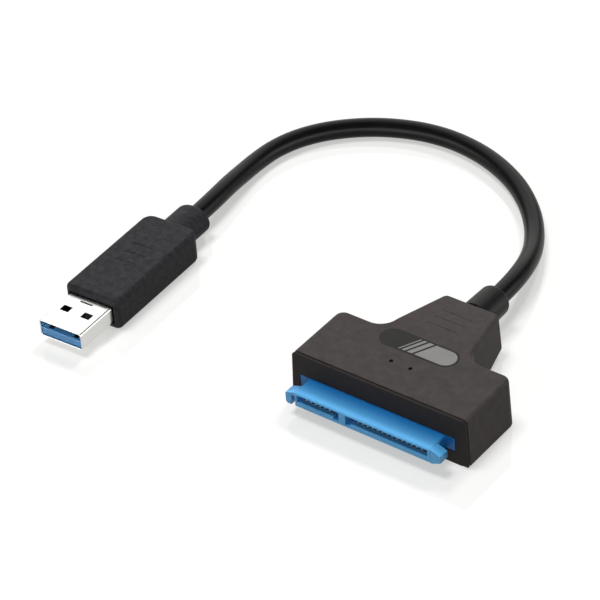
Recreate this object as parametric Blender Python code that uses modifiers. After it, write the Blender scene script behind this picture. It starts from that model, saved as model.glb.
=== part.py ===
"""A USB to SATA adapter: a T-shaped housing with a SATA receptacle, and a short cord with a USB plug.

Everything is in metres with +Z up. The housing lies on its flat underside with its receptacle
towards -Y. The origin is at the bottom centre of the housing, its receptacle and its collar.
"""

import math

import bmesh
import bpy
from mathutils import Matrix, Vector

MM = 0.001

# Air between pieces
GAP = 0.3 * MM
FINE_GAP = 0.15 * MM

# Housing sleeve: a bar across the front and a neck that tapers to the cord
BAR_WIDTH = 45.6 * MM
BAR_DEPTH = 18.4 * MM
HOUSING_HEIGHT = 12.4 * MM
HOUSING_LENGTH = 36.9 * MM
NECK_ROOT_WIDTH = 22.6 * MM
NECK_END_WIDTH = 14.4 * MM
NECK_DROP = 1.4 * MM
NECK_RISE = 1.8 * MM
DRAFT = 0.045
SIDE_WALL = 1.3 * MM
TOP_WALL = 1.3 * MM
REAR_WALL = 1.5 * MM
BAR_CORNER_RADIUS = 2.2 * MM
NECK_CORNER_RADIUS = 1.4 * MM
NECK_FILLET_RADIUS = 4.2 * MM
EDGE_RADIUS = 0.9 * MM
UNDERSIDE_RADIUS = 0.4 * MM
RIM_RADIUS = 0.2 * MM

# Marks in the sleeve's top
GRIP_GROOVES = 3
GRIP_GROOVE_LENGTH = 8.0 * MM
GRIP_GROOVE_WIDTH = 0.45 * MM
GRIP_GROOVE_DEPTH = 0.3 * MM
GRIP_GROOVE_PITCH = 2.95 * MM
GRIP_GROOVE_FROM_REAR = 6.1 * MM
LIGHT_HOLE_DIAMETER = 1.0 * MM
LIGHT_SPACING = 5.08 * MM
LIGHT_FROM_FRONT = 9.1 * MM

# Front bezel: a thin rim plate with two bars that seat inside the sleeve
BEZEL_PLATE = 0.7 * MM
BEZEL_BAR_DEPTH = 2.4 * MM
BEZEL_NOTCH_WIDTH = 1.6 * MM
BEZEL_NOTCH_HEIGHT = 0.3 * MM
WINDOW_FIT = 0.15 * MM

# SATA receptacle
CONTACT_PITCH = 1.27 * MM
SIGNAL_CONTACTS = 7
POWER_CONTACTS = 15
KEY_PITCHES = 5
RECEPTACLE_WIDTH = 36.1 * MM
RECEPTACLE_SHIFT = -0.35 * MM
RECEPTACLE_HEIGHT = 3.8 * MM
RECEPTACLE_BOTTOM = 3.0 * MM
RECEPTACLE_REACH = 5.7 * MM
RECEPTACLE_EDGE = 0.25 * MM
WING_CLEARANCE = 1.1 * MM
WING_HEIGHT = 3.3 * MM
WING_RISE = 0.1 * MM
SHOULDER_HEIGHT = 4.7 * MM
SHOULDER_DEPTH = 3.6 * MM
HOOK_DEPTH = 2.8 * MM
HOOK_WIDTH = 1.5 * MM
HOOK_SLIT = 0.8 * MM
HOOK_SLOPE = 0.85 * MM
HOOK_CHAMFER = 0.4 * MM
HOOK_RAKE_RUN = 2.3 * MM
HOOK_RAKE_RISE = 1.0 * MM
SLOT_FLOOR = 1.45 * MM
SLOT_HEIGHT = 1.4 * MM
SLOT_DEPTH = 5.3 * MM
SIGNAL_END_MARGIN = 1.8 * MM
SIGNAL_KEY_MARGIN = 1.8 * MM
POWER_KEY_MARGIN = 2.75 * MM
POWER_END_MARGIN = 1.0 * MM
KEY_WIDTH = 1.35 * MM
KEY_DROP = 0.7 * MM
MOUTH_DEPTH = 0.9 * MM
CAVITY_WIDTH = 0.86 * MM
CAVITY_RISE = 0.45 * MM
CONTACT_WIDTH = 0.56 * MM
CONTACT_THICKNESS = 0.18 * MM
CONTACT_TIP_DROP = 0.55 * MM
CONTACT_BEND = 0.85 * MM
CONTACT_TAIL = 1.4 * MM

# Circuit board and what is soldered to it
BOARD_THICKNESS = 1.0 * MM
BOARD_CLEARANCE = 0.9 * MM
BOARD_BAR_DEPTH = 11.3 * MM
BOARD_TONGUE_WIDTH = 14.4 * MM
BOARD_TONGUE_LENGTH = 9.0 * MM
BOARD_CORNER_RADIUS = 0.8 * MM
BOARD_TOP = 4.85 * MM
RAIL_WIDTH = 1.8 * MM
RAIL_HEIGHT = 0.8 * MM
LIGHT_SIZE = (1.6 * MM, 0.8 * MM, 0.6 * MM)
SOLDERED_PARTS = (
    ("bridge_chip", (7.0 * MM, 7.0 * MM, 0.9 * MM), (0.0, 15.0 * MM), (0.03, 0.03, 0.035), 0.35),
    ("crystal", (3.2 * MM, 2.5 * MM, 0.8 * MM), (8.6 * MM, 12.4 * MM), (0.75, 0.75, 0.74), 0.25),
    ("flash_memory", (4.9 * MM, 3.9 * MM, 1.4 * MM), (-9.4 * MM, 12.2 * MM), (0.04, 0.04, 0.04), 0.4),
    ("power_inductor", (4.0 * MM, 4.0 * MM, 1.7 * MM), (15.2 * MM, 11.6 * MM), (0.12, 0.12, 0.13), 0.6),
    ("voltage_regulator", (3.0 * MM, 1.6 * MM, 1.1 * MM), (-15.6 * MM, 11.4 * MM), (0.04, 0.04, 0.04), 0.4),
    ("capacitor_left", (2.0 * MM, 1.25 * MM, 0.9 * MM), (-4.6 * MM, 21.4 * MM), (0.45, 0.33, 0.2), 0.5),
    ("capacitor_right", (2.0 * MM, 1.25 * MM, 0.9 * MM), (4.6 * MM, 21.4 * MM), (0.45, 0.33, 0.2), 0.5),
)
SOLDERED_EDGE = 0.15 * MM

# Strain relief collar, moulded on the cord
COLLAR_HEIGHT = 6.4 * MM
COLLAR_ROOT_DIAMETER = 8.1 * MM
COLLAR_END_DIAMETER = 7.7 * MM
COLLAR_LENGTH = 9.5 * MM
COLLAR_ROUNDING = 1.2 * MM
COLLAR_WAIST = 6.2 * MM
COLLAR_FLANGE = 2.0 * MM
COLLAR_FLANGE_WIDTH = 9.0 * MM

# Wires from the collar to the board
WIRE_DIAMETER = 0.8 * MM
WIRE_LAYER = 1.0 * MM
WIRE_BUNDLE_PITCH = 0.48 * MM
WIRE_PAD_PITCH = 1.4 * MM
WIRE_PAD_SETBACK = 1.6 * MM
WIRES = (
    ("power_wire", (0.5, 0.02, 0.02)),
    ("data_minus_wire", (0.8, 0.8, 0.78)),
    ("data_plus_wire", (0.02, 0.3, 0.06)),
    ("ground_wire", (0.02, 0.02, 0.02)),
    ("drain_wire", (0.6, 0.6, 0.6)),
    ("send_minus_wire", (0.02, 0.08, 0.45)),
    ("send_plus_wire", (0.75, 0.6, 0.03)),
    ("receive_minus_wire", (0.25, 0.04, 0.35)),
    ("receive_plus_wire", (0.8, 0.3, 0.02)),
)

# Cord: its route's points, from the end of the collar, with heights above the surface
CORD_DIAMETER = 4.8 * MM
CORD_POINT_SPACING = 6.5 * MM
CORD_ROUTE = (
    (0.0, 0.0, 6.4 * MM),
    (-0.4 * MM, 6.5 * MM, 6.2 * MM),
    (-1.6 * MM, 12.9 * MM, 5.5 * MM),
    (-3.7 * MM, 19.2 * MM, 4.3 * MM),
    (-6.5 * MM, 25.1 * MM, 3.2 * MM),
    (-10.0 * MM, 30.7 * MM, 2.6 * MM),
    (-14.1 * MM, 35.8 * MM, 2.45 * MM),
    (-18.8 * MM, 40.3 * MM, 2.45 * MM),
    (-24.0 * MM, 44.2 * MM, 2.45 * MM),
    (-29.8 * MM, 47.4 * MM, 2.45 * MM),
    (-35.9 * MM, 49.8 * MM, 2.45 * MM),
    (-42.3 * MM, 51.3 * MM, 2.45 * MM),
    (-48.8 * MM, 51.8 * MM, 2.45 * MM),
    (-55.3 * MM, 51.1 * MM, 2.45 * MM),
    (-61.6 * MM, 49.2 * MM, 2.45 * MM),
    (-67.5 * MM, 46.3 * MM, 2.45 * MM),
    (-72.8 * MM, 42.4 * MM, 2.45 * MM),
    (-77.3 * MM, 37.7 * MM, 2.45 * MM),
    (-80.7 * MM, 32.1 * MM, 2.45 * MM),
    (-82.7 * MM, 25.8 * MM, 2.45 * MM),
    (-83.2 * MM, 19.3 * MM, 2.5 * MM),
    (-82.8 * MM, 12.8 * MM, 2.85 * MM),
    (-81.9 * MM, 6.2 * MM, 3.55 * MM),
    (-80.9 * MM, -0.3 * MM, 4.0 * MM),
    (-80.2 * MM, -8.4 * MM, 4.1 * MM),
)
PLUG_HEADING = math.radians(2.65)

# USB plug
OVERMOULD_WIDTH = 15.2 * MM
OVERMOULD_HEIGHT = 8.2 * MM
OVERMOULD_LENGTH = 32.5 * MM
OVERMOULD_REAR_RADIUS = 2.8 * MM
OVERMOULD_FRONT_RADIUS = 1.5 * MM
OVERMOULD_EDGE = 1.2 * MM
PLUG_COLLAR_WIDTH = 9.4 * MM
PLUG_COLLAR_HEIGHT = 7.2 * MM
PLUG_COLLAR_LENGTH = 8.4 * MM
PLUG_COLLAR_ROUNDING = 1.2 * MM
DEBOSS_BARS = 3
DEBOSS_BAR_LENGTH = 6.0 * MM
DEBOSS_BAR_WIDTH = 1.2 * MM
DEBOSS_BAR_PITCH = 3.4 * MM
DEBOSS_DEPTH = 0.2 * MM
DEBOSS_FROM_FRONT = 17.0 * MM
SHELL_WIDTH = 12.0 * MM
SHELL_HEIGHT = 4.5 * MM
SHELL_REACH = 11.7 * MM
SHELL_SEAT = 7.0 * MM
SHELL_SHEET = 0.3 * MM
SHELL_RADIUS = 0.7 * MM
LATCH_HOLE_WIDTH = 2.4 * MM
LATCH_HOLE_LENGTH = 2.0 * MM
LATCH_HOLE_SPACING = 5.9 * MM
LATCH_HOLE_FROM_TIP = 6.3 * MM
SHELL_SLOT_LENGTH = 3.5 * MM
SHELL_SLOT_WIDTH = 0.5 * MM
SHELL_SLOT_FROM_TIP = 10.1 * MM
TONGUE_THICKNESS = 1.85 * MM
TONGUE_SETBACK = 0.3 * MM
TONGUE_LENGTH = 11.2 * MM
INNER_MOULD_LENGTH = 9.0 * MM
PLUG_CONTACT_THICKNESS = 0.2 * MM
PLUG_CONTACT_GROOVE = 0.3 * MM
PLUG_CONTACTS = (
    ("plug_power_contact", -3.5 * MM, 1.0 * MM, 1.0 * MM, 6.4 * MM),
    ("plug_data_minus_contact", -1.0 * MM, 1.0 * MM, 2.0 * MM, 5.4 * MM),
    ("plug_data_plus_contact", 1.0 * MM, 1.0 * MM, 2.0 * MM, 5.4 * MM),
    ("plug_ground_contact", 3.5 * MM, 1.0 * MM, 1.0 * MM, 6.4 * MM),
    ("plug_send_minus_contact", -4.2 * MM, 0.7 * MM, 8.2 * MM, 2.4 * MM),
    ("plug_send_plus_contact", -2.1 * MM, 0.7 * MM, 8.2 * MM, 2.4 * MM),
    ("plug_drain_contact", 0.0 * MM, 0.7 * MM, 8.2 * MM, 2.4 * MM),
    ("plug_receive_minus_contact", 2.1 * MM, 0.7 * MM, 8.2 * MM, 2.4 * MM),
    ("plug_receive_plus_contact", 4.2 * MM, 0.7 * MM, 8.2 * MM, 2.4 * MM),
)

# How finely round shapes are drawn, and the angles from which an edge is sharp
SHADED_SHARP = math.radians(35)
BEVELLED_SHARP = math.radians(40)
ARC_STEPS = 5
ROUND_SIDES = 28
BEVEL_STEPS = 2
CUT_OVERRUN = 1.0 * MM
SINK = 0.4 * MM

# Places worked out from the sizes
CORD_EXIT = HOUSING_LENGTH + COLLAR_LENGTH
ORIGIN_FROM_FRONT = (CORD_EXIT - RECEPTACLE_REACH) / 2
SLEEVE_FRONT = BEZEL_PLATE + GAP
RECEPTACLE_TOP = RECEPTACLE_BOTTOM + RECEPTACLE_HEIGHT
WING_WIDTH = BAR_WIDTH - 2 * (SIDE_WALL + WING_CLEARANCE)
WING_TOP = RECEPTACLE_TOP + WING_RISE
WING_BOTTOM = WING_TOP - WING_HEIGHT
SHOULDER_MIDDLE = (RECEPTACLE_BOTTOM + WING_TOP) / 2 + GAP
SHOULDER_TOP = SHOULDER_MIDDLE + SHOULDER_HEIGHT / 2
SHOULDER_BOTTOM = SHOULDER_MIDDLE - SHOULDER_HEIGHT / 2
SHOULDER_FRONT = BEZEL_PLATE + GAP
SHOULDER_REAR = SHOULDER_FRONT + SHOULDER_DEPTH
SLOT_BOTTOM = RECEPTACLE_BOTTOM + SLOT_FLOOR
SLOT_TOP = SLOT_BOTTOM + SLOT_HEIGHT
CAVITY_TOP = SLOT_TOP + CAVITY_RISE
CAVITY_BOTTOM = SLOT_TOP - FINE_GAP
CONTACT_RUN = (CAVITY_TOP + CAVITY_BOTTOM) / 2
BOARD_WIDTH = BAR_WIDTH - 2 * (SIDE_WALL + BOARD_CLEARANCE)
BOARD_FRONT = SHOULDER_REAR + GAP
BOARD_REAR = BOARD_FRONT + BOARD_BAR_DEPTH + BOARD_TONGUE_LENGTH
SOLDER_HEIGHT = BOARD_TOP + FINE_GAP
PLUG_TIP = -(PLUG_COLLAR_LENGTH + OVERMOULD_LENGTH + SHELL_REACH)
MOULD_FRONT = PLUG_TIP + SHELL_REACH
SHELL_REAR = MOULD_FRONT + SHELL_SEAT
SHELL_FLOOR = SHELL_SHEET - SHELL_HEIGHT / 2
TONGUE_BOTTOM = SHELL_FLOOR + FINE_GAP
TONGUE_TOP = TONGUE_BOTTOM + TONGUE_THICKNESS


def clear_scene():
    for item in list(bpy.data.objects):
        bpy.data.objects.remove(item, do_unlink=True)


def new_collection(name, hidden=False):
    collection = bpy.data.collections.new(name)
    bpy.context.scene.collection.children.link(collection)
    collection.hide_render = hidden
    return collection


def material(name, colour, roughness=0.5, metallic=0.0):
    """One Principled material, made for the piece that bears its name."""
    made = bpy.data.materials.new(name)
    made.use_nodes = True
    shader = made.node_tree.nodes["Principled BSDF"]
    shader.inputs["Base Color"].default_value = (*colour, 1.0)
    shader.inputs["Roughness"].default_value = roughness
    shader.inputs["Metallic"].default_value = metallic
    made.diffuse_color = (*colour, 1.0)
    return made


class Workshop:
    """Holds the two collections and the empty that the pieces being made are parented to."""

    def __init__(self):
        self.parts = new_collection("usb_to_sata_adapter")
        self.cutters = new_collection("cutters", hidden=True)
        self.parent = None

    def anchor(self, name, location, turn=0.0):
        """An empty that places every piece made after it."""
        empty = bpy.data.objects.new(name, None)
        empty.location = location
        empty.rotation_euler = (0.0, 0.0, turn)
        self.parts.objects.link(empty)
        bpy.context.view_layer.update()
        self.parent = empty

    def piece(self, name, mesh, colour, roughness=0.5, metallic=0.0, smooth=False):
        item = bpy.data.objects.new(name, mesh)
        item.parent = self.parent
        self.parts.objects.link(item)
        mesh.materials.append(material(name, colour, roughness, metallic))
        if smooth:
            mesh.shade_smooth()
            mesh.set_sharp_from_angle(angle=SHADED_SHARP)
        return item

    def cutter(self, name, mesh):
        item = bpy.data.objects.new(name, mesh)
        item.parent = self.parent
        item.hide_render = True
        item.display_type = "WIRE"
        self.cutters.objects.link(item)
        return item

    def shape(self, item, mesh, operation):
        """Adds a Boolean of this mesh to the item."""
        tool = self.cutter(f"{item.name}_{operation.lower()}_{len(item.modifiers)}", mesh)
        boolean = item.modifiers.new(f"{operation.title()} {len(item.modifiers)}", "BOOLEAN")
        boolean.operation = operation
        boolean.object = tool

    def cut(self, item, mesh):
        self.shape(item, mesh, "DIFFERENCE")

    def join(self, item, mesh):
        self.shape(item, mesh, "UNION")


def mesh_of(made, name):
    mesh = bpy.data.meshes.new(name)
    made.to_mesh(mesh)
    made.free()
    return mesh


def box(low, high, name="box"):
    """A box between two corners."""
    made = bmesh.new()
    bmesh.ops.create_cube(made, size=1.0)
    size = [b - a for a, b in zip(low, high)]
    middle = Vector([(a + b) / 2 for a, b in zip(low, high)])
    place = Matrix.Translation(middle) @ Matrix.Diagonal((*size, 1.0))
    bmesh.ops.transform(made, matrix=place, verts=made.verts)
    return mesh_of(made, name)


def round_bar(start, length, width, height=None, end_width=None, name="round_bar"):
    """A bar along Y, round or oval, that may taper in proportion to its end width."""
    made = bmesh.new()
    end_width = end_width or width
    bmesh.ops.create_cone(
        made, cap_ends=True, segments=ROUND_SIDES, radius1=width / 2, radius2=end_width / 2, depth=length
    )
    flatten = Matrix.Diagonal((1.0, (height or width) / width, 1.0, 1.0))
    lay = Matrix.Rotation(math.radians(-90), 4, "X")
    place = Matrix.Translation(Vector(start) + Vector((0.0, length / 2, 0.0)))
    bmesh.ops.transform(made, matrix=place @ lay @ flatten, verts=made.verts)
    return mesh_of(made, name)


def upright_bar(centre, low, high, diameter, name="upright_bar"):
    made = bmesh.new()
    place = Matrix.Translation((*centre, (low + high) / 2))
    bmesh.ops.create_cone(
        made, cap_ends=True, segments=ROUND_SIDES // 2, radius1=diameter / 2, radius2=diameter / 2,
        depth=high - low, matrix=place
    )
    return mesh_of(made, name)


def bevel(item, width, steps=BEVEL_STEPS, weighted=False):
    """Rounds the item's sharp edges, or the edges that carry a bevel weight."""
    edges = item.modifiers.new("Rounded edges", "BEVEL")
    edges.width = width
    edges.segments = steps
    edges.limit_method = "WEIGHT" if weighted else "ANGLE"
    edges.angle_limit = BEVELLED_SHARP


def rounded_outline(corners, steps=ARC_STEPS):
    """The points of a polygon whose corners (x, y, radius) are turned into arcs."""
    points = []
    for index, (x, y, radius) in enumerate(corners):
        here = Vector((x, y))
        if radius <= 0:
            points.append(here)
            continue
        back = (Vector(corners[index - 1][:2]) - here).normalized()
        ahead = (Vector(corners[(index + 1) % len(corners)][:2]) - here).normalized()
        half = back.angle(ahead) / 2
        centre = here + (back + ahead).normalized() * radius / math.sin(half)
        first = here + back * radius / math.tan(half) - centre
        last = here + ahead * radius / math.tan(half) - centre
        turn = math.atan2(first.cross(last), first.dot(last))
        for step in range(steps + 1):
            points.append(centre + Matrix.Rotation(turn * step / steps, 2) @ first)
    return points


def plate(outline, thickness, name="plate"):
    """A flat outline as a filled 2D curve, centred on its plane, made a closed mesh."""
    curve = bpy.data.curves.new(name, "CURVE")
    curve.dimensions = "2D"
    curve.fill_mode = "BOTH"
    curve.extrude = thickness / 2
    spline = curve.splines.new("POLY")
    spline.points.add(len(outline) - 1)
    for point, place in zip(spline.points, outline):
        point.co = (place[0], place[1], 0.0, 1.0)
    spline.use_cyclic_u = True
    guide = bpy.data.objects.new(name, curve)
    bpy.context.scene.collection.objects.link(guide)
    bpy.context.view_layer.update()
    mesh = bpy.data.meshes.new_from_object(guide.evaluated_get(bpy.context.evaluated_depsgraph_get()))
    bpy.data.objects.remove(guide)
    made = bmesh.new()
    made.from_mesh(mesh)
    bmesh.ops.remove_doubles(made, verts=made.verts, dist=1e-6)
    bmesh.ops.dissolve_limit(made, angle_limit=math.radians(1), verts=made.verts, edges=made.edges)
    bmesh.ops.recalc_face_normals(made, faces=made.faces)
    made.to_mesh(mesh)
    made.free()
    return mesh


def flat_plate(outline, low, high, name="flat_plate"):
    """The outline in X and Y, from one height to another."""
    mesh = plate(outline, high - low, name)
    mesh.transform(Matrix.Translation((0.0, 0.0, (low + high) / 2)))
    return mesh


def facing_plate(outline, front, rear, name="facing_plate"):
    """The outline in X and Z, from one depth along Y to another."""
    mesh = plate(outline, rear - front, name)
    stand = Matrix.Rotation(math.radians(90), 4, "X")
    mesh.transform(Matrix.Translation((0.0, (front + rear) / 2, 0.0)) @ stand)
    return mesh


def side_plate(outline, half_width, name="side_plate"):
    """The outline in Y and Z, across the middle plane."""
    mesh = plate(outline, 2 * half_width, name)
    turn = Matrix(((0, 0, 1, 0), (1, 0, 0, 0), (0, 1, 0, 0), (0, 0, 0, 1)))
    mesh.transform(turn)
    return mesh


def strip(profile, width, thickness, colour, name, shop, x):
    """A thin strip across X that follows a profile of (y, z) points."""
    made = bmesh.new()
    rows = [
        (made.verts.new((-width / 2, y, z)), made.verts.new((width / 2, y, z)))
        for y, z in profile
    ]
    for (a, b), (c, d) in zip(rows, rows[1:]):
        made.faces.new((a, b, d, c))
    item = shop.piece(name, mesh_of(made, name), colour, roughness=0.25, metallic=1.0)
    item.location.x = x
    solid = item.modifiers.new("Sheet", "SOLIDIFY")
    solid.thickness = thickness
    solid.offset = 0.0
    return item


def tube(points, diameter, resolution, name, shop, colour, roughness):
    """A round wire or cord along points, closed at both ends."""
    curve = bpy.data.curves.new(name, "CURVE")
    curve.dimensions = "3D"
    curve.bevel_depth = diameter / 2
    curve.bevel_resolution = resolution
    curve.use_fill_caps = True
    spline = curve.splines.new("POLY")
    spline.points.add(len(points) - 1)
    for point, place in zip(spline.points, points):
        point.co = (*place, 1.0)
    item = bpy.data.objects.new(name, curve)
    item.parent = shop.parent
    shop.parts.objects.link(item)
    curve.materials.append(material(name, colour, roughness))
    return item


def smooth_route(points, spacing):
    """Points at an even spacing along a Catmull-Rom curve through the given points."""
    fine = []
    samples = 12
    route = [Vector(point) for point in points]
    for index in range(len(route) - 1):
        before = route[index - 1] if index else 2 * route[0] - route[1]
        start, end = route[index], route[index + 1]
        after = route[index + 2] if index + 2 < len(route) else 2 * route[-1] - route[-2]
        for sample in range(samples):
            t = sample / samples
            fine.append(
                0.5 * (
                    2 * start + (end - before) * t + (2 * before - 5 * start + 4 * end - after) * t ** 2
                    + (3 * start - before - 3 * end + after) * t ** 3
                )
            )
    fine.append(route[-1])
    length = sum((b - a).length for a, b in zip(fine, fine[1:]))
    count = round(length / spacing)
    step, travelled, picked = length / count, 0.0, [fine[0]]
    for a, b in zip(fine, fine[1:]):
        travelled += (b - a).length
        if travelled >= step * len(picked) and len(picked) < count:
            picked.append(b)
    return picked + [fine[-1]]


def loft(rings, name="loft"):
    """A closed solid through rings of points, each with as many points as the first."""
    made = bmesh.new()
    layers = [[made.verts.new(point) for point in ring] for ring in rings]
    made.faces.new(layers[0])
    made.faces.new(layers[-1])
    for lower, upper in zip(layers, layers[1:]):
        for index in range(len(lower)):
            following = (index + 1) % len(lower)
            made.faces.new((lower[index], lower[following], upper[following], upper[index]))
    bmesh.ops.recalc_face_normals(made, faces=made.faces)
    return mesh_of(made, name)


def along_neck(y):
    """How far along the sloping part of the neck a place is, from 0 to 1."""
    start = BAR_DEPTH + NECK_FILLET_RADIUS
    return max(0.0, (y - start) / (HOUSING_LENGTH - start))


def neck_top(y):
    """The height of the housing's top, which falls evenly along the neck."""
    return HOUSING_HEIGHT - NECK_DROP * along_neck(y)


def housing_ring(inset, front, rear):
    """The T outline, drawn in by a wall on every side but the front."""
    slope = (NECK_ROOT_WIDTH - NECK_END_WIDTH) / 2 / (HOUSING_LENGTH - BAR_DEPTH)
    draw_in = inset * math.hypot(1.0, slope)
    bar_rear = BAR_DEPTH - inset
    neck_end = NECK_END_WIDTH / 2 - draw_in + slope * (HOUSING_LENGTH - rear)
    side = [
        (BAR_WIDTH / 2 - inset, front, 0.0),
        (BAR_WIDTH / 2 - inset, bar_rear, max(BAR_CORNER_RADIUS - inset, FINE_GAP)),
        (NECK_ROOT_WIDTH / 2 - draw_in + slope * inset, bar_rear, NECK_FILLET_RADIUS + inset),
        (neck_end, rear, max(NECK_CORNER_RADIUS - inset, FINE_GAP)),
    ]
    return rounded_outline(side + [(-x, y, radius) for x, y, radius in reversed(side)])


def housing_solid(wall, front, rear_wall, floor, ceiling):
    """The housing's T shape, wider below by its draft, with walls this thick taken off it."""
    rings = []
    for height in (0.0, HOUSING_HEIGHT):
        spread = DRAFT * (HOUSING_HEIGHT - height)
        rings.append(housing_ring(wall - spread, front, HOUSING_LENGTH - rear_wall + spread))
    low = [(x, y, floor) for x, y in rings[0]]
    high = [(x, y, HOUSING_HEIGHT - ceiling) for x, y in rings[1]]
    mesh = loft([low, high], "housing_solid")
    made = bmesh.new()
    made.from_mesh(mesh)
    whole = made.verts[:] + made.edges[:] + made.faces[:]
    bend = BAR_DEPTH + NECK_FILLET_RADIUS
    bmesh.ops.bisect_plane(made, geom=whole, plane_co=(0.0, bend, 0.0), plane_no=(0.0, 1.0, 0.0))
    for vertex in made.verts:
        if vertex.co.z > HOUSING_HEIGHT / 2:
            vertex.co.z -= NECK_DROP * along_neck(vertex.co.y)
        else:
            vertex.co.z += NECK_RISE * along_neck(vertex.co.y)
    made.to_mesh(mesh)
    made.free()
    return mesh


def weigh_edges(mesh, share):
    """Marks each sharp edge for rounding by the share that this function gives for its middle."""
    made = bmesh.new()
    made.from_mesh(mesh)
    weights = made.edges.layers.float.new("bevel_weight_edge")
    for edge in made.edges:
        if edge.calc_face_angle() > BEVELLED_SHARP:
            edge[weights] = share((edge.verts[0].co + edge.verts[1].co) / 2)
    made.to_mesh(mesh)
    made.free()


def contact_places():
    """The contacts' places across X: the signal row, then the power row past the key."""
    first_power = SIGNAL_CONTACTS - 1 + KEY_PITCHES
    slots = list(range(SIGNAL_CONTACTS)) + [first_power + index for index in range(POWER_CONTACTS)]
    middle = slots[-1] / 2
    places = [(slot - middle) * CONTACT_PITCH for slot in slots]
    return places[:SIGNAL_CONTACTS], places[SIGNAL_CONTACTS:]


def make_sleeve(shop):
    """The one-piece T-shaped sleeve, open at the front, with a round hole for the collar."""
    outer = housing_solid(0.0, SLEEVE_FRONT, 0.0, 0.0, 0.0)

    def share(place):
        if place.y < SLEEVE_FRONT + FINE_GAP:
            return RIM_RADIUS / EDGE_RADIUS
        return 1.0 if place.z > HOUSING_HEIGHT / 2 else UNDERSIDE_RADIUS / EDGE_RADIUS

    weigh_edges(outer, share)
    sleeve = shop.piece("housing_sleeve", outer, (0.045, 0.042, 0.04), 0.45, smooth=True)
    bevel(sleeve, EDGE_RADIUS, BEVEL_STEPS, weighted=True)
    inner_rear = HOUSING_LENGTH - REAR_WALL
    shop.cut(sleeve, housing_solid(SIDE_WALL, SLEEVE_FRONT - CUT_OVERRUN, REAR_WALL, SIDE_WALL, TOP_WALL))
    hole = COLLAR_WAIST + 2 * GAP
    hole_start = (0.0, inner_rear - CUT_OVERRUN, COLLAR_HEIGHT)
    shop.cut(sleeve, round_bar(hole_start, REAR_WALL + 2 * CUT_OVERRUN, hole))
    for index in range(GRIP_GROOVES):
        y = HOUSING_LENGTH - GRIP_GROOVE_FROM_REAR - index * GRIP_GROOVE_PITCH
        low = (-GRIP_GROOVE_LENGTH / 2, y - GRIP_GROOVE_WIDTH / 2, neck_top(y) - GRIP_GROOVE_DEPTH)
        high = (GRIP_GROOVE_LENGTH / 2, y + GRIP_GROOVE_WIDTH / 2, HOUSING_HEIGHT + CUT_OVERRUN)
        shop.cut(sleeve, box(low, high))
    for side in (-1, 1):
        centre = (side * LIGHT_SPACING / 2, LIGHT_FROM_FRONT)
        low = HOUSING_HEIGHT - TOP_WALL - CUT_OVERRUN
        shop.cut(sleeve, upright_bar(centre, low, HOUSING_HEIGHT + CUT_OVERRUN, LIGHT_HOLE_DIAMETER))
        rail_top = BOARD_TOP - BOARD_THICKNESS - GAP
        wall = side * BAR_WIDTH / 2
        edge = side * (BAR_WIDTH / 2 - SIDE_WALL - RAIL_WIDTH)
        low = (min(wall, edge), BOARD_FRONT + GAP, rail_top - RAIL_HEIGHT)
        high = (max(wall, edge), BAR_DEPTH - SIDE_WALL - BAR_CORNER_RADIUS, rail_top)
        shop.join(sleeve, box(low, high))


def make_bezel(shop):
    """The face plate round the receptacle, with a bar above and below that seats in the sleeve."""
    half, top = BAR_WIDTH / 2, HOUSING_HEIGHT
    foot = half + DRAFT * HOUSING_HEIGHT
    face = rounded_outline([
        (-foot, 0.0, UNDERSIDE_RADIUS), (foot, 0.0, UNDERSIDE_RADIUS), (half, top, EDGE_RADIUS),
        (-half, top, EDGE_RADIUS),
    ], BEVEL_STEPS)
    bezel = shop.piece("front_bezel", facing_plate(face, 0.0, BEZEL_PLATE), (0.03, 0.028, 0.028), 0.5)
    bevel(bezel, RIM_RADIUS, 1)
    inside = BAR_WIDTH / 2 - SIDE_WALL - GAP
    seat_rear = BEZEL_PLATE + BEZEL_BAR_DEPTH
    floor, ceiling = SIDE_WALL + GAP, HOUSING_HEIGHT - TOP_WALL - GAP
    for low, high in ((SHOULDER_TOP + GAP, ceiling), (floor, SHOULDER_BOTTOM - GAP)):
        shop.join(bezel, box((-inside, BEZEL_PLATE - SINK, low), (inside, seat_rear, high)))
    deep = (-CUT_OVERRUN, seat_rear + CUT_OVERRUN)
    windows = (
        (WING_WIDTH / 2 + WINDOW_FIT, WING_BOTTOM - WINDOW_FIT, WING_TOP + WINDOW_FIT),
        (RECEPTACLE_WIDTH / 2 + WINDOW_FIT, RECEPTACLE_BOTTOM - WINDOW_FIT, WING_TOP),
    )
    for reach, low, high in windows:
        left, right = RECEPTACLE_SHIFT - reach, RECEPTACLE_SHIFT + reach
        shop.cut(bezel, box((left, deep[0], low), (right, deep[1], high)))
    for side in (-1, 1):
        inner, outer = side * (foot - BEZEL_NOTCH_WIDTH), side * (foot + CUT_OVERRUN)
        low = (min(inner, outer), deep[0], -CUT_OVERRUN)
        shop.cut(bezel, box(low, (max(inner, outer), SLEEVE_FRONT, BEZEL_NOTCH_HEIGHT)))


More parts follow.
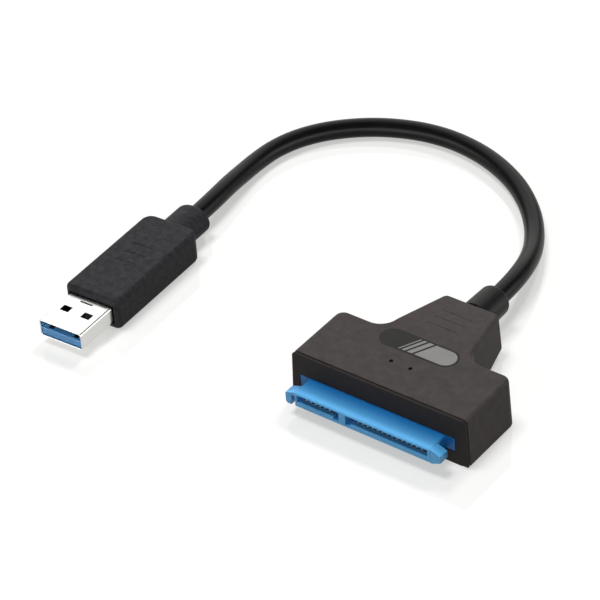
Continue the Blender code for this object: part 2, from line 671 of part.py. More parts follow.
def make_receptacle(shop):
    """The blue receptacle: body, wings, shoulders behind the bezel, slots and contact cavities.

    The hook at the signal end stands off the body by a slit, and the one at the power end is solid
    with a raked underside.
    """
    half_body, half_wing = RECEPTACLE_WIDTH / 2, WING_WIDTH / 2
    front = -RECEPTACLE_REACH

    def block(half, start, low, end, high):
        return box((RECEPTACLE_SHIFT - half, start, low), (RECEPTACLE_SHIFT + half, end, high))

    body = block(half_body, front, RECEPTACLE_BOTTOM, SHOULDER_REAR - SINK, RECEPTACLE_TOP)
    receptacle = shop.piece("sata_receptacle", body, (0.02, 0.2, 0.55), 0.35)
    bevel(receptacle, RECEPTACLE_EDGE, 1)
    shop.join(receptacle, block(half_wing, 0.0, WING_BOTTOM, SHOULDER_FRONT + SINK, WING_TOP))
    shop.join(receptacle, block(half_wing, SHOULDER_FRONT, SHOULDER_BOTTOM, SHOULDER_REAR, SHOULDER_TOP))
    shoulder = half_body + FINE_GAP
    slit_outer = shoulder + HOOK_SLIT
    hook_outer = slit_outer + HOOK_WIDTH
    hook_root = half_body - RECEPTACLE_EDGE - SINK
    top, bottom = RECEPTACLE_TOP - FINE_GAP, RECEPTACLE_BOTTOM
    slit_top = SLOT_TOP - FINE_GAP
    upper = [(hook_root, top), (shoulder, top), (hook_outer, top - HOOK_SLOPE)]
    slit_hook = upper + [
        (hook_outer, bottom + HOOK_CHAMFER), (hook_outer - HOOK_CHAMFER, bottom), (slit_outer, bottom),
        (slit_outer, slit_top), (hook_root, slit_top),
    ]
    raked_hook = upper + [
        (hook_outer, bottom + HOOK_RAKE_RISE), (hook_outer - HOOK_RAKE_RUN, bottom),
        (hook_root, bottom + FINE_GAP),
    ]
    for side, outline in ((-1, slit_hook[::-1]), (1, raked_hook)):
        shape = [(RECEPTACLE_SHIFT + side * x, z) for x, z in outline]
        shop.join(receptacle, facing_plate(shape, front + FINE_GAP, front + HOOK_DEPTH))
    signal, power = contact_places()
    slots = (
        (signal[0] - SIGNAL_END_MARGIN, signal[-1] + SIGNAL_KEY_MARGIN,
         signal[-1] + SIGNAL_KEY_MARGIN - KEY_WIDTH),
        (power[0] - POWER_KEY_MARGIN, power[-1] + POWER_END_MARGIN, power[0] - POWER_KEY_MARGIN),
    )
    outside, slot_rear = front - CUT_OVERRUN, front + SLOT_DEPTH
    for left, right, key in slots:
        shop.cut(receptacle, box((left, outside, SLOT_BOTTOM), (right, slot_rear, SLOT_TOP)))
        shop.cut(receptacle, box((left, outside, SLOT_TOP - SINK), (right, front + MOUTH_DEPTH, CAVITY_TOP)))
        low = (key, outside, SLOT_BOTTOM - KEY_DROP)
        shop.cut(receptacle, box(low, (key + KEY_WIDTH, slot_rear, SLOT_BOTTOM + SINK)))
    for x in signal + power:
        low = (x - CAVITY_WIDTH / 2, front + MOUTH_DEPTH - SINK, CAVITY_BOTTOM)
        high = (x + CAVITY_WIDTH / 2, SHOULDER_REAR + CUT_OVERRUN, CAVITY_TOP)
        shop.cut(receptacle, box(low, high))


def make_contacts(shop):
    """One spring contact in each cavity: a bowed tip in the slot, a straight run and a soldered tail."""
    front, slot_rear = -RECEPTACLE_REACH, SLOT_DEPTH - RECEPTACLE_REACH
    foot = SOLDER_HEIGHT + CONTACT_THICKNESS / 2
    bend, tip = CONTACT_RUN - CONTACT_BEND, CONTACT_RUN - CONTACT_TIP_DROP
    profile = (
        (front + GAP, tip),
        (front + MOUTH_DEPTH, tip - FINE_GAP),
        (front + SLOT_DEPTH / 3, bend),
        (front + SLOT_DEPTH / 2, bend),
        (slot_rear - 2 * GAP, CONTACT_RUN),
        (SHOULDER_REAR + GAP, CONTACT_RUN),
        (BOARD_FRONT + 2 * GAP, foot),
        (BOARD_FRONT + 2 * GAP + CONTACT_TAIL, foot),
    )
    signal, power = contact_places()
    for kind, row in (("signal", signal), ("power", power)):
        for number, x in enumerate(row, start=1):
            name = f"{kind}_contact_{number}"
            strip(profile, CONTACT_WIDTH, CONTACT_THICKNESS, (0.8, 0.65, 0.3), name, shop, x)


def make_board(shop):
    """The T-shaped circuit board with its soldered parts and the two indicator lights."""
    half, tongue = BOARD_WIDTH / 2, BOARD_TONGUE_WIDTH / 2
    bar_rear, corner = BOARD_FRONT + BOARD_BAR_DEPTH, BOARD_CORNER_RADIUS
    outline = rounded_outline([
        (-half, BOARD_FRONT, corner), (half, BOARD_FRONT, corner), (half, bar_rear, corner),
        (tongue, bar_rear, corner), (tongue, BOARD_REAR, corner), (-tongue, BOARD_REAR, corner),
        (-tongue, bar_rear, corner), (-half, bar_rear, corner),
    ], steps=2)
    board = flat_plate(outline, BOARD_TOP - BOARD_THICKNESS, BOARD_TOP, "circuit_board")
    shop.piece("circuit_board", board, (0.01, 0.12, 0.05), 0.4)
    lights = (("power_light", -1), ("activity_light", 1))
    light_colour = (0.8, 0.85, 0.8)
    parts = list(SOLDERED_PARTS) + [
        (name, LIGHT_SIZE, (side * LIGHT_SPACING / 2, LIGHT_FROM_FRONT), light_colour, 0.3)
        for name, side in lights
    ]
    for name, size, place, colour, roughness in parts:
        low = (place[0] - size[0] / 2, place[1] - size[1] / 2, SOLDER_HEIGHT)
        high = (place[0] + size[0] / 2, place[1] + size[1] / 2, SOLDER_HEIGHT + size[2])
        bevel(shop.piece(name, box(low, high, name), colour, roughness), SOLDERED_EDGE, 1)


def make_strain_relief(shop):
    """The collar that holds the cord: a waist through the sleeve's rear wall and a flange inside it."""
    flange_rear = HOUSING_LENGTH - REAR_WALL - GAP
    flange_front = flange_rear - COLLAR_FLANGE
    collar_start = HOUSING_LENGTH + DRAFT * HOUSING_HEIGHT
    start = (0.0, collar_start, COLLAR_HEIGHT)
    length = CORD_EXIT - collar_start
    bar = round_bar(start, length, COLLAR_ROOT_DIAMETER, end_width=COLLAR_END_DIAMETER, name="strain_relief")
    relief = shop.piece("strain_relief", bar, (0.02, 0.02, 0.02), 0.4, smooth=True)
    weigh_edges(bar, lambda place: 1.0 if place.y > CORD_EXIT - FINE_GAP else 0.0)
    bevel(relief, COLLAR_ROUNDING, 3, weighted=True)
    waist_start = (0.0, flange_rear - SINK, COLLAR_HEIGHT)
    shop.join(relief, round_bar(waist_start, collar_start - flange_rear + 2 * SINK, COLLAR_WAIST))
    half = COLLAR_FLANGE_WIDTH / 2
    floor = NECK_RISE + SIDE_WALL + GAP
    ceiling = HOUSING_HEIGHT - NECK_DROP - TOP_WALL - GAP
    shop.join(relief, box((-half, flange_front, floor), (half, flange_rear, ceiling)))
    return flange_front


def make_wires(shop, bundle_end):
    """Nine wires in two layers at the collar, fanned out to a row of pads on the board."""
    start_y = bundle_end - GAP
    end_y = BOARD_REAR - WIRE_PAD_SETBACK
    pad_height = SOLDER_HEIGHT + WIRE_DIAMETER / 2
    middle = (len(WIRES) - 1) / 2
    steps = 5
    for index, (name, colour) in enumerate(WIRES):
        layer = WIRE_LAYER / 2 if index % 2 == 0 else -WIRE_LAYER / 2
        start = Vector(((index - middle) * WIRE_BUNDLE_PITCH, start_y, COLLAR_HEIGHT - GAP + layer))
        end = Vector(((index - middle) * WIRE_PAD_PITCH, end_y, pad_height))
        points = []
        for step in range(steps + 1):
            along = step / steps
            eased = along * along * (3 - 2 * along)
            point = start.lerp(end, along)
            point.x = start.x + (end.x - start.x) * eased
            point.z = start.z + (end.z - start.z) * eased
            points.append(point)
        tube(points, WIRE_DIAMETER, 1, name, shop, colour, 0.4)


def make_overmould(shop):
    """The plug's grip with its oval collar, hollow at the front for the shell."""
    half = OVERMOULD_WIDTH / 2
    rear, front = -PLUG_COLLAR_LENGTH, MOULD_FRONT
    side = [(half, front, OVERMOULD_FRONT_RADIUS), (half, rear, OVERMOULD_REAR_RADIUS)]
    mirrored = [(-x, y, radius) for x, y, radius in reversed(side)]
    outline = rounded_outline(side + mirrored, steps=4)
    mesh = flat_plate(outline, -OVERMOULD_HEIGHT / 2, OVERMOULD_HEIGHT / 2, "usb_overmould")
    grip = shop.piece("usb_overmould", mesh, (0.03, 0.03, 0.033), 0.5, smooth=True)
    bevel(grip, OVERMOULD_EDGE, 3)
    overlap = OVERMOULD_EDGE + 2 * SINK
    bar_start = (0.0, rear - overlap, 0.0)
    bar = round_bar(bar_start, PLUG_COLLAR_LENGTH + overlap, PLUG_COLLAR_WIDTH, PLUG_COLLAR_HEIGHT)
    made = bmesh.new()
    made.from_mesh(bar)
    rim = [edge for edge in made.edges if all(abs(vertex.co.y) < FINE_GAP for vertex in edge.verts)]
    bmesh.ops.bevel(made, geom=rim, offset=PLUG_COLLAR_ROUNDING, segments=3, profile=0.5, affect="EDGES")
    made.to_mesh(bar)
    made.free()
    shop.join(grip, bar)
    half_pocket = SHELL_WIDTH / 2 + GAP
    pocket_rear = SHELL_REAR + INNER_MOULD_LENGTH + 2 * GAP
    low = (-half_pocket, front - CUT_OVERRUN, -SHELL_HEIGHT / 2 - GAP)
    shop.cut(grip, box(low, (half_pocket, pocket_rear, SHELL_HEIGHT / 2 + GAP)))
    for index in range(DEBOSS_BARS):
        y = front + DEBOSS_FROM_FRONT + (index - (DEBOSS_BARS - 1) / 2) * DEBOSS_BAR_PITCH
        low = (-DEBOSS_BAR_LENGTH / 2, y - DEBOSS_BAR_WIDTH / 2, OVERMOULD_HEIGHT / 2 - DEBOSS_DEPTH)
        high = (DEBOSS_BAR_LENGTH / 2, y + DEBOSS_BAR_WIDTH / 2, OVERMOULD_HEIGHT / 2 + CUT_OVERRUN)
        shop.cut(grip, box(low, high))
    low = (-SHELL_WIDTH / 2, SHELL_REAR + GAP, -SHELL_HEIGHT / 2)
    high = (SHELL_WIDTH / 2, SHELL_REAR + GAP + INNER_MOULD_LENGTH, SHELL_HEIGHT / 2)
    inner = shop.piece("usb_inner_mould", box(low, high, "usb_inner_mould"), (0.7, 0.7, 0.68), 0.5)
    bevel(inner, SHELL_RADIUS, 2)


def shell_outline(inset):
    half, high = SHELL_WIDTH / 2 - inset, SHELL_HEIGHT / 2 - inset
    radius = SHELL_RADIUS - inset
    corners = ((-half, -high), (half, -high), (half, high), (-half, high))
    return rounded_outline([(x, z, radius) for x, z in corners], steps=3)


def make_shell(shop):
    """The folded steel shell with two latch holes above, two below and a small slot."""
    mesh = facing_plate(shell_outline(0.0), PLUG_TIP, SHELL_REAR, "usb_shell")
    shell = shop.piece("usb_shell", mesh, (0.75, 0.74, 0.72), 0.25, 1.0, smooth=True)
    hollow = shell_outline(SHELL_SHEET)
    shop.cut(shell, facing_plate(hollow, PLUG_TIP - CUT_OVERRUN, SHELL_REAR + CUT_OVERRUN))
    reach = SHELL_HEIGHT / 2 + CUT_OVERRUN
    hole_y = PLUG_TIP + LATCH_HOLE_FROM_TIP
    for side in (-1, 1):
        x = side * LATCH_HOLE_SPACING / 2
        low = (x - LATCH_HOLE_WIDTH / 2, hole_y - LATCH_HOLE_LENGTH / 2, -reach)
        shop.cut(shell, box(low, (x + LATCH_HOLE_WIDTH / 2, hole_y + LATCH_HOLE_LENGTH / 2, reach)))
    slot_y = PLUG_TIP + SHELL_SLOT_FROM_TIP
    low = (-SHELL_SLOT_LENGTH / 2, slot_y - SHELL_SLOT_WIDTH / 2, 0.0)
    shop.cut(shell, box(low, (SHELL_SLOT_LENGTH / 2, slot_y + SHELL_SLOT_WIDTH / 2, reach)))


def make_tongue(shop):
    """The blue insulator: a thin tongue in front of a full-height root, with the nine contacts on it."""
    half = SHELL_WIDTH / 2 - SHELL_SHEET - FINE_GAP
    tip = PLUG_TIP + TONGUE_SETBACK
    root, rear = PLUG_TIP + TONGUE_LENGTH, SHELL_REAR - FINE_GAP
    ceiling = SHELL_HEIGHT / 2 - SHELL_SHEET - FINE_GAP
    outline = rounded_outline([
        (tip, TONGUE_BOTTOM, FINE_GAP), (rear, TONGUE_BOTTOM, 0.0), (rear, ceiling, 0.0),
        (root, ceiling, 0.0), (root, TONGUE_TOP, 0.0), (tip, TONGUE_TOP, 2 * FINE_GAP),
    ], steps=2)
    tongue = shop.piece("usb_tongue", side_plate(outline, half, "usb_tongue"), (0.03, 0.25, 0.65), 0.35)
    floor = TONGUE_TOP - PLUG_CONTACT_GROOVE
    for name, x, width, setback, length in PLUG_CONTACTS:
        start = PLUG_TIP + setback
        low = (x - width / 2 - FINE_GAP, start - FINE_GAP, floor)
        high = (x + width / 2 + FINE_GAP, start + length + FINE_GAP, TONGUE_TOP + CUT_OVERRUN)
        shop.cut(tongue, box(low, high))
        low = (x - width / 2, start, floor + FINE_GAP)
        high = (x + width / 2, start + length, floor + FINE_GAP + PLUG_CONTACT_THICKNESS)
        shop.piece(name, box(low, high, name), (0.8, 0.65, 0.3), 0.25, 1.0)


def make_cord(shop):
    """The free cord along its route, a fit's gap short of both collars."""
    route = [Vector(point) for point in CORD_ROUTE]
    route[0].y += GAP
    points = smooth_route(route, CORD_POINT_SPACING)
    tube(points, CORD_DIAMETER, 3, "cable", shop, (0.02, 0.02, 0.02), 0.3)


def main():
    clear_scene()
    shop = Workshop()
    shop.anchor("housing_front", (0.0, -ORIGIN_FROM_FRONT, 0.0))
    make_sleeve(shop)
    make_bezel(shop)
    make_receptacle(shop)
    make_contacts(shop)
    make_board(shop)
    make_wires(shop, make_strain_relief(shop))
    exit_y = CORD_EXIT - ORIGIN_FROM_FRONT
    shop.anchor("cord_exit", (0.0, exit_y, 0.0))
    make_cord(shop)
    along = Vector((-math.sin(PLUG_HEADING), math.cos(PLUG_HEADING), 0.0))
    end = Vector(CORD_ROUTE[-1]) - along * GAP
    shop.anchor("plug_end", (end.x, exit_y + end.y, OVERMOULD_HEIGHT / 2), PLUG_HEADING)
    make_overmould(shop)
    make_shell(shop)
    make_tongue(shop)


main()
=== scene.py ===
"""Looks of a USB to SATA adapter: a black T-shaped housing with a blue receptacle, and a short cord.

Lengths are in metres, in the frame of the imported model, unless a name ends in _mm. The housing's own
coordinates start at its front face, and the plug's at the end of its collar, with -Y towards its tip.
"""

import logging
import math
from dataclasses import dataclass
from enum import Enum
from typing import Iterable, Sequence

import bmesh
import bpy
from mathutils import Matrix, Vector


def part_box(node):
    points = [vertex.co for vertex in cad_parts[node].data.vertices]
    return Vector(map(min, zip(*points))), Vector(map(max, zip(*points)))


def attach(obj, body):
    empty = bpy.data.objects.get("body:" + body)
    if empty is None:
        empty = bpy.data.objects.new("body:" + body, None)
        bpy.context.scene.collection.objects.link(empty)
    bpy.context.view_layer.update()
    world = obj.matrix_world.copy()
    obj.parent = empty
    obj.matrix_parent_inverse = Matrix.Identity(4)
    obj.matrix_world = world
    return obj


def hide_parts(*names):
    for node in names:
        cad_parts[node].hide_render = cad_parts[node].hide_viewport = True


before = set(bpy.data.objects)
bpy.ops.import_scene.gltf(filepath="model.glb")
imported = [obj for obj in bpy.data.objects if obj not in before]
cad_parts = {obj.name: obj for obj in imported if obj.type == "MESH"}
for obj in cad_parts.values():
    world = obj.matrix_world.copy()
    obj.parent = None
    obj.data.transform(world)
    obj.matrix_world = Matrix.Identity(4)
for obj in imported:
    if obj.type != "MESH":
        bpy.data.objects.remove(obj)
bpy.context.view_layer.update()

MM = 0.001
BODY = "root"
log = logging.getLogger("adapter")

Triple = tuple[float, float, float]
Corner = Triple
Flat = Sequence[tuple[float, float]]
Ring = Sequence[Sequence[float]]
Socket = bpy.types.NodeSocket
Tree = bpy.types.NodeTree
Mesh = bpy.types.Mesh
Item = bpy.types.Object

# Edges that turn less than this are shaded smooth, and CAD edges that turn more than the next are broken
SMOOTH_TURN, BROKEN_TURN = math.radians(32), math.radians(40)
BREAK_CHORDS = 3
SAME_PLACE = 1e-7
# A rolled scratch's scale along the strip, how far spark pits run together, and the share of their haze
STRETCH, RUN_TOGETHER, HAZE = 0.06, 0.6, 0.5
# The grain's part in the colour, and where on the sum of both patterns the two colours stand
GRAIN_SHARE, COLOUR_ENDS = 0.25, (0.38, 0.92)
# The sum of both patterns at which the roughness is least and most
RUBBED_ENDS = (0.6, 1.4)


class Shape(Enum):
    """How a tool mesh changes the piece it is used on."""

    CUT = "DIFFERENCE"
    JOIN = "UNION"
    KEEP = "INTERSECT"


class Surface(Enum):
    """How a surface was made, which decides its pattern."""

    ERODED = "moulded in a spark-eroded tool"
    POLISHED = "moulded in a polished tool"
    EXTRUDED = "drawn through a die"
    ROLLED = "rolled sheet or strip, then plated"
    SPECKLED = "pressed powder or filled resin"
    MASKED = "laminate with etched tracks under a lacquer"
    PRINTED = "ink laid on in a thin film"


class Mixed(Enum):
    """What a Mix node mixes: Blender's name for it, and where its two inputs and its result stand."""

    NUMBER = ("FLOAT", 2, 3, 0)
    COLOUR = ("RGBA", 6, 7, 2)


def linear(colour: str) -> tuple[float, float, float, float]:
    """Turns an sRGB hex colour into the linear values that a shader takes.

    Args:
        colour: six hex digits after a hash.

    Returns:
        Linear red, green and blue, and an alpha of one.
    """
    shares = [int(colour[place:place + 2], 16) / 255 for place in (1, 3, 5)]
    bent = [share / 12.92 if share <= 0.04045 else ((share + 0.055) / 1.055) ** 2.4 for share in shares]
    return (bent[0], bent[1], bent[2], 1.0)


def add_node(tree: Tree, kind: str, settings: dict | None = None,
             inputs: dict | None = None) -> bpy.types.Node:
    """Adds a node with its settings and with what each of its inputs takes.

    Args:
        tree: the node tree of a material or of the world.
        kind: Blender's name for the type of node.
        settings: values of the node's own attributes, by name.
        inputs: for an input, by name or number, its value or the socket that feeds it.

    Returns:
        The new node.
    """
    node = tree.nodes.new(f"ShaderNode{kind}")
    for name, value in (settings or {}).items():
        setattr(node, name, value)
    for key, value in (inputs or {}).items():
        if isinstance(value, Socket):
            tree.links.new(value, node.inputs[key])
        else:
            node.inputs[key].default_value = value
    return node


def noise(tree: Tree, place: Socket, size_mm: float, detail: float = 3.0, fray: float = 0.5) -> Socket:
    """A cloudy pattern of this size, finer with more detail and harsher with more fray."""
    wanted = {"Vector": place, "Scale": 1 / (size_mm * MM), "Detail": detail, "Roughness": fray}
    return add_node(tree, "TexNoise", inputs=wanted).outputs["Fac"]


def reckon(tree: Tree, operation: str, *values: Socket | float) -> Socket:
    """The result of one of Blender's Math operations on sockets or numbers."""
    return add_node(tree, "Math", {"operation": operation}, dict(enumerate(values))).outputs[0]


def ease(tree: Tree, value: Socket, ends: tuple[float, float], most: float = 1.0) -> Socket:
    """A strength that rises smoothly from nought to the most between two values."""
    wanted = {"Value": value, "From Min": ends[0], "From Max": ends[1], "To Min": 0.0, "To Max": most}
    return add_node(tree, "MapRange", {"interpolation_type": "SMOOTHSTEP"}, wanted).outputs[0]


def mix(tree: Tree, what: Mixed, share: Socket, low: Socket | float | tuple,
        high: Socket | float | tuple) -> Socket:
    """What goes from the low value to the high one as the share goes from nought to one.

    Args:
        tree: the node tree.
        what: whether numbers or colours are mixed.
        share: the high one's share.
        low: the value or socket at nought.
        high: the value or socket at one.

    Returns:
        The socket that gives the mixture.
    """
    kind, first, second, result = what.value
    wanted = {"Factor": share, first: low, second: high}
    return add_node(tree, "Mix", {"data_type": kind}, wanted).outputs[result]


def blank_tree(owner: bpy.types.Material | bpy.types.World) -> Tree:
    """Empties the node tree of a material or a world.

    Args:
        owner: the material or the world.

    Returns:
        Its node tree.
    """
    owner.use_nodes = True
    owner.node_tree.nodes.clear()
    return owner.node_tree


@dataclass(frozen=True)
class Patterns:
    """What a finish is drawn from.

    Attributes:
        tree: the material's node tree.
        place: the place on the object, in metres.
        drift: the slow pattern.
        grain: the fine pattern that the making leaves, as a height from nought to about one.
    """

    tree: Tree
    place: Socket
    drift: Socket
    grain: Socket


@dataclass(frozen=True)
class Finish:
    """What a surface is made of and how it was made.

    Attributes:
        name: the material's name, for the real thing and its making.
        surface: how it was made.
        colour: its main colour, sRGB hex.
        drift: the colour that it drifts to over a slow pattern, sRGB hex.
        roughness: its middle roughness.
        metallic: one for bare metal.
        ior: its refractive index, left at Blender's default on a metal.
        gloss: the specular level, half for a clean surface and less for a matt, light-trapping one.
        grain_mm: the size of its finest pattern.
        relief_mm: how deep that pattern is.
        drift_mm: the size of the slow pattern.
        spread: how far the roughness wanders on either side of its middle.
        glow: the share of light that scatters under the surface of a translucent plastic.
    """

    name: str
    surface: Surface
    colour: str
    drift: str
    roughness: float
    metallic: float = 0.0
    ior: float = 1.5
    gloss: float = 0.5
    grain_mm: float = 0.3
    relief_mm: float = 0.004
    drift_mm: float = 9.0
    spread: float = 0.05
    glow: float = 0.0

    def material(self) -> bpy.types.Material:
        """Makes the finish as a node material, once, for all its pieces.

        Returns:
            The material.
        """
        made = bpy.data.materials.get(self.name)
        if made:
            return made
        made = bpy.data.materials.new(self.name)
        tree = blank_tree(made)
        place = add_node(tree, "TexCoord").outputs["Object"]
        patterns = Patterns(tree, place, noise(tree, place, self.drift_mm), self.grain(tree, place))
        shader = add_node(tree, "BsdfPrincipled", inputs={
            "Base Color": self.tint(patterns),
            "Roughness": self.scatter(patterns),
            "Metallic": self.metallic,
            "IOR": self.ior,
            "Specular IOR Level": self.gloss,
            "Subsurface Weight": self.glow,
            "Subsurface Scale": MM,
            "Normal": self.relief(patterns),
        })
        add_node(tree, "OutputMaterial", inputs={"Surface": shader.outputs["BSDF"]})
        made.diffuse_color = linear(self.colour)
        made.roughness = self.roughness
        made.metallic = self.metallic
        return made

    def grain(self, tree: Tree, place: Socket) -> Socket:
        """The finest pattern that the making leaves.

        Args:
            tree: the material's node tree.
            place: the place on the object, in metres.

        Returns:
            The socket that gives it as a height.
        """
        if self.surface is Surface.ROLLED:
            # Rolling stretches every scratch along the strip.
            along = add_node(tree, "Mapping", inputs={"Vector": place, "Scale": (1.0, STRETCH, 1.0)})
            return noise(tree, along.outputs[0], self.grain_mm, 4.0, 0.65)
        if self.surface is Surface.ERODED:
            # Sparks leave round, overlapping pits.
            pits = add_node(tree, "TexVoronoi", {"feature": "SMOOTH_F1"}, {
                "Vector": place, "Scale": 1 / (self.grain_mm * MM), "Smoothness": RUN_TOGETHER,
            }).outputs["Distance"]
            return reckon(tree, "MULTIPLY_ADD", noise(tree, place, self.grain_mm / 2, 2.0), HAZE, pits)
        if self.surface in (Surface.SPECKLED, Surface.PRINTED):
            grid = add_node(tree, "VectorMath", {"operation": "SNAP"}, {
                0: place, 1: (self.grain_mm * MM,) * 3,
            }).outputs[0]
            return add_node(tree, "TexWhiteNoise", inputs={"Vector": grid}).outputs["Value"]
        return noise(tree, place, self.grain_mm)

    def tint(self, patterns: Patterns) -> Socket:
        """The colour over the surface: the main one, drifting slowly, with a trace of the grain.

        Args:
            patterns: what it is drawn from.

        Returns:
            The socket that gives the colour.
        """
        share = reckon(patterns.tree, "MULTIPLY_ADD", patterns.grain, GRAIN_SHARE, patterns.drift)
        ramp = add_node(patterns.tree, "ValToRGB", inputs={"Fac": share})
        for stop, end, colour in zip(ramp.color_ramp.elements, COLOUR_ENDS, (self.colour, self.drift)):
            stop.position = end
            stop.color = linear(colour)
        return ramp.outputs["Color"]

    def scatter(self, patterns: Patterns) -> Socket:
        """The roughness, rubbed smoother in slow patches and broken up by the grain.

        Args:
            patterns: what it is drawn from.

        Returns:
            The socket that gives the roughness.
        """
        both = reckon(patterns.tree, "ADD", patterns.drift, patterns.grain)
        return add_node(patterns.tree, "MapRange", inputs={
            "Value": both, "From Min": RUBBED_ENDS[0], "From Max": RUBBED_ENDS[1],
            "To Min": self.roughness - self.spread, "To Max": self.roughness + self.spread,
        }).outputs[0]

    def relief(self, patterns: Patterns) -> Socket:
        """The grain as bump, at this finish's depth."""
        wanted = {"Strength": 1.0, "Distance": self.relief_mm * MM, "Height": patterns.grain}
        return add_node(patterns.tree, "Bump", inputs=wanted).outputs["Normal"]


@dataclass(frozen=True)
class PaintedLipRamp(Finish):
    """A plastic with painted light and shade along Y: its colour ramps to a paler one towards its front lip.

    Attributes:
        pale: the colour at the lip, sRGB hex.
        lip_y: where along Y it is palest.
        deep_y: where behind that it has its base colour.
    """

    pale: str = "#ffffff"
    lip_y: float = 0.0
    deep_y: float = 0.0

    def tint(self, patterns: Patterns) -> Socket:
        """The plastic's colour, paler towards the lip as painted light and shade.

        Args:
            patterns: what it is drawn from.

        Returns:
            The socket that gives the colour.
        """
        depth = add_node(patterns.tree, "SeparateXYZ", inputs={"Vector": patterns.place}).outputs["Y"]
        share = ease(patterns.tree, depth, (self.deep_y, self.lip_y))
        return mix(patterns.tree, Mixed.COLOUR, share, super().tint(patterns), linear(self.pale))


@dataclass(frozen=True)
class Tracked(Finish):
    """Board laminate: copper tracks show through the lacquer as paler lines.

    Attributes:
        track: the colour over copper, sRGB hex.
        track_mm: the pitch of the tracks.
        track_length: how many pitches long a track is.
        track_gap: the lines' share of a pitch.
    """

    track: str = "#ffffff"
    track_mm: float = 0.6
    track_length: float = 6.0
    track_gap: float = 0.08

    def tint(self, patterns: Patterns) -> Socket:
        """The lacquer's colour, paler where a track runs under it.

        Args:
            patterns: what it is drawn from.

        Returns:
            The socket that gives the colour.
        """
        black, white = linear("#000000"), linear("#ffffff")
        lines = add_node(patterns.tree, "TexBrick", {"offset": 0.5}, {
            "Vector": patterns.place, "Scale": 1 / (self.track_mm * MM), "Mortar Size": self.track_gap,
            "Color1": black, "Color2": black, "Mortar": white,
            "Brick Width": self.track_length, "Row Height": 1.0,
        }).outputs["Color"]
        return mix(patterns.tree, Mixed.COLOUR, lines, super().tint(patterns), linear(self.track))


def rounded_outline(corners: Iterable[Corner], steps: int = 8) -> Flat:
    """An outline whose corners are arcs.

    Args:
        corners: each corner's two coordinates and its radius, in order.
        steps: the arc's chords at each rounded corner.

    Returns:
        The outline's points.
    """
    corners = list(corners)
    points = []
    for index, (x, y, radius) in enumerate(corners):
        here = Vector((x, y))
        back = (Vector(corners[index - 1][:2]) - here).normalized()
        ahead = (Vector(corners[(index + 1) % len(corners)][:2]) - here).normalized()
        if radius <= 0.0:
            points.append((x, y))
            continue
        half = back.angle(ahead) / 2
        reach = radius / math.tan(half)
        centre = here + (back + ahead).normalized() * radius / math.sin(half)
        start = here + back * reach - centre
        turn = (here + ahead * reach - centre).angle_signed(start)
        for step in range(steps + 1):
            angle = turn * step / steps
            swung = Matrix.Rotation(angle, 2) @ start
            points.append(tuple(centre + swung))
    return points


def slot_outline(centre: tuple[float, float], length: float, width: float, steps: int = 16) -> list:
    """An outline with straight sides along X and half-round ends.

    Args:
        centre: its middle.
        length: its whole length along X.
        width: its width along Y.
        steps: chords in each half-round end.

    Returns:
        The outline's points.
    """
    points = []
    for side in (1, -1):
        for step in range(steps + 1):
            angle = side * math.pi / 2 - math.pi * step / steps
            across = side * (length - width) / 2 + math.cos(angle) * width / 2
            points.append((centre[0] + across, centre[1] + math.sin(angle) * width / 2))
    return points


def oval(width: float, height: float, sides: int = 72) -> Flat:
    """Points round an ellipse of this width and height."""
    turns = [math.tau * side / sides for side in range(sides)]
    return [(math.cos(turn) * width / 2, math.sin(turn) * height / 2) for turn in turns]


def both_sides(corners: Sequence[Corner]) -> list[Corner]:
    """The corners of the right side, and then their mirror images in the opposite order."""
    return [*corners, *((-x, y, radius) for x, y, radius in reversed(corners))]


def drawn_in(corners: Sequence[Corner], inset: float, steps: int) -> Flat:
    """A rounded outline that is drawn in towards its middle on every side.

    Args:
        corners: each corner's two coordinates and its radius, in order.
        inset: how far it is drawn in.
        steps: chords at each corner.

    Returns:
        The outline's points.
    """
    xs, ys, _ = zip(*corners)
    middle_x, middle_y = (min(xs) + max(xs)) / 2, (min(ys) + max(ys)) / 2
    return rounded_outline([
        (x - math.copysign(inset, x - middle_x), y - math.copysign(inset, y - middle_y), radius - inset)
        for x, y, radius in corners
    ], steps)


def flat(outline: Flat, height: float) -> Ring:
    """An outline laid flat in X and Y at a height."""
    return [(x, y, height) for x, y in outline]


def upright(outline: Flat, y: float, height: float = 0.0) -> Ring:
    """An outline stood up in X and Z at a place along Y, and raised by a height."""
    return [(x, y, z + height) for x, z in outline]


def loft(rings: Sequence[Ring], tube: bool = False) -> Mesh:
    """A closed skin over rings that have the same number of points.

    Args:
        rings: the rings in order, as points in space.
        tube: whether the last ring meets the first, as round a hollow wall; otherwise both are capped.

    Returns:
        The skin as a mesh, facing out.
    """
    made = bmesh.new()
    layers = [[made.verts.new(point) for point in ring] for ring in rings]
    pairs = list(zip(layers, layers[1:]))
    if tube:
        pairs.append((layers[-1], layers[0]))
    else:
        made.faces.new(layers[0])
        made.faces.new(layers[-1])
    for lower, upper in pairs:
        for index in range(len(lower)):
            after = (index + 1) % len(lower)
            made.faces.new((lower[index], lower[after], upper[after], upper[index]))
    bmesh.ops.recalc_face_normals(made, faces=made.faces)
    return to_mesh(made)


def prism(outline: Flat, low: float, high: float) -> Mesh:
    """A straight-sided solid on an outline that lies flat, between two heights."""
    return loft([flat(outline, height) for height in (low, high)])


def block(corner: Sequence[float], opposite: Sequence[float]) -> Mesh:
    """A square-edged tool mesh between two opposite corners, for cutting and joining."""
    (x, y, z), (far_x, far_y, far_z) = corner, opposite
    return prism([(x, y), (far_x, y), (far_x, far_y), (x, far_y)], z, far_z)


def to_mesh(made: bmesh.types.BMesh) -> Mesh:
    """Writes a bmesh into a new mesh and frees it.

    Args:
        made: the bmesh.

    Returns:
        The new mesh.
    """
    mesh = bpy.data.meshes.new("skin")
    made.to_mesh(mesh)
    made.free()
    return mesh


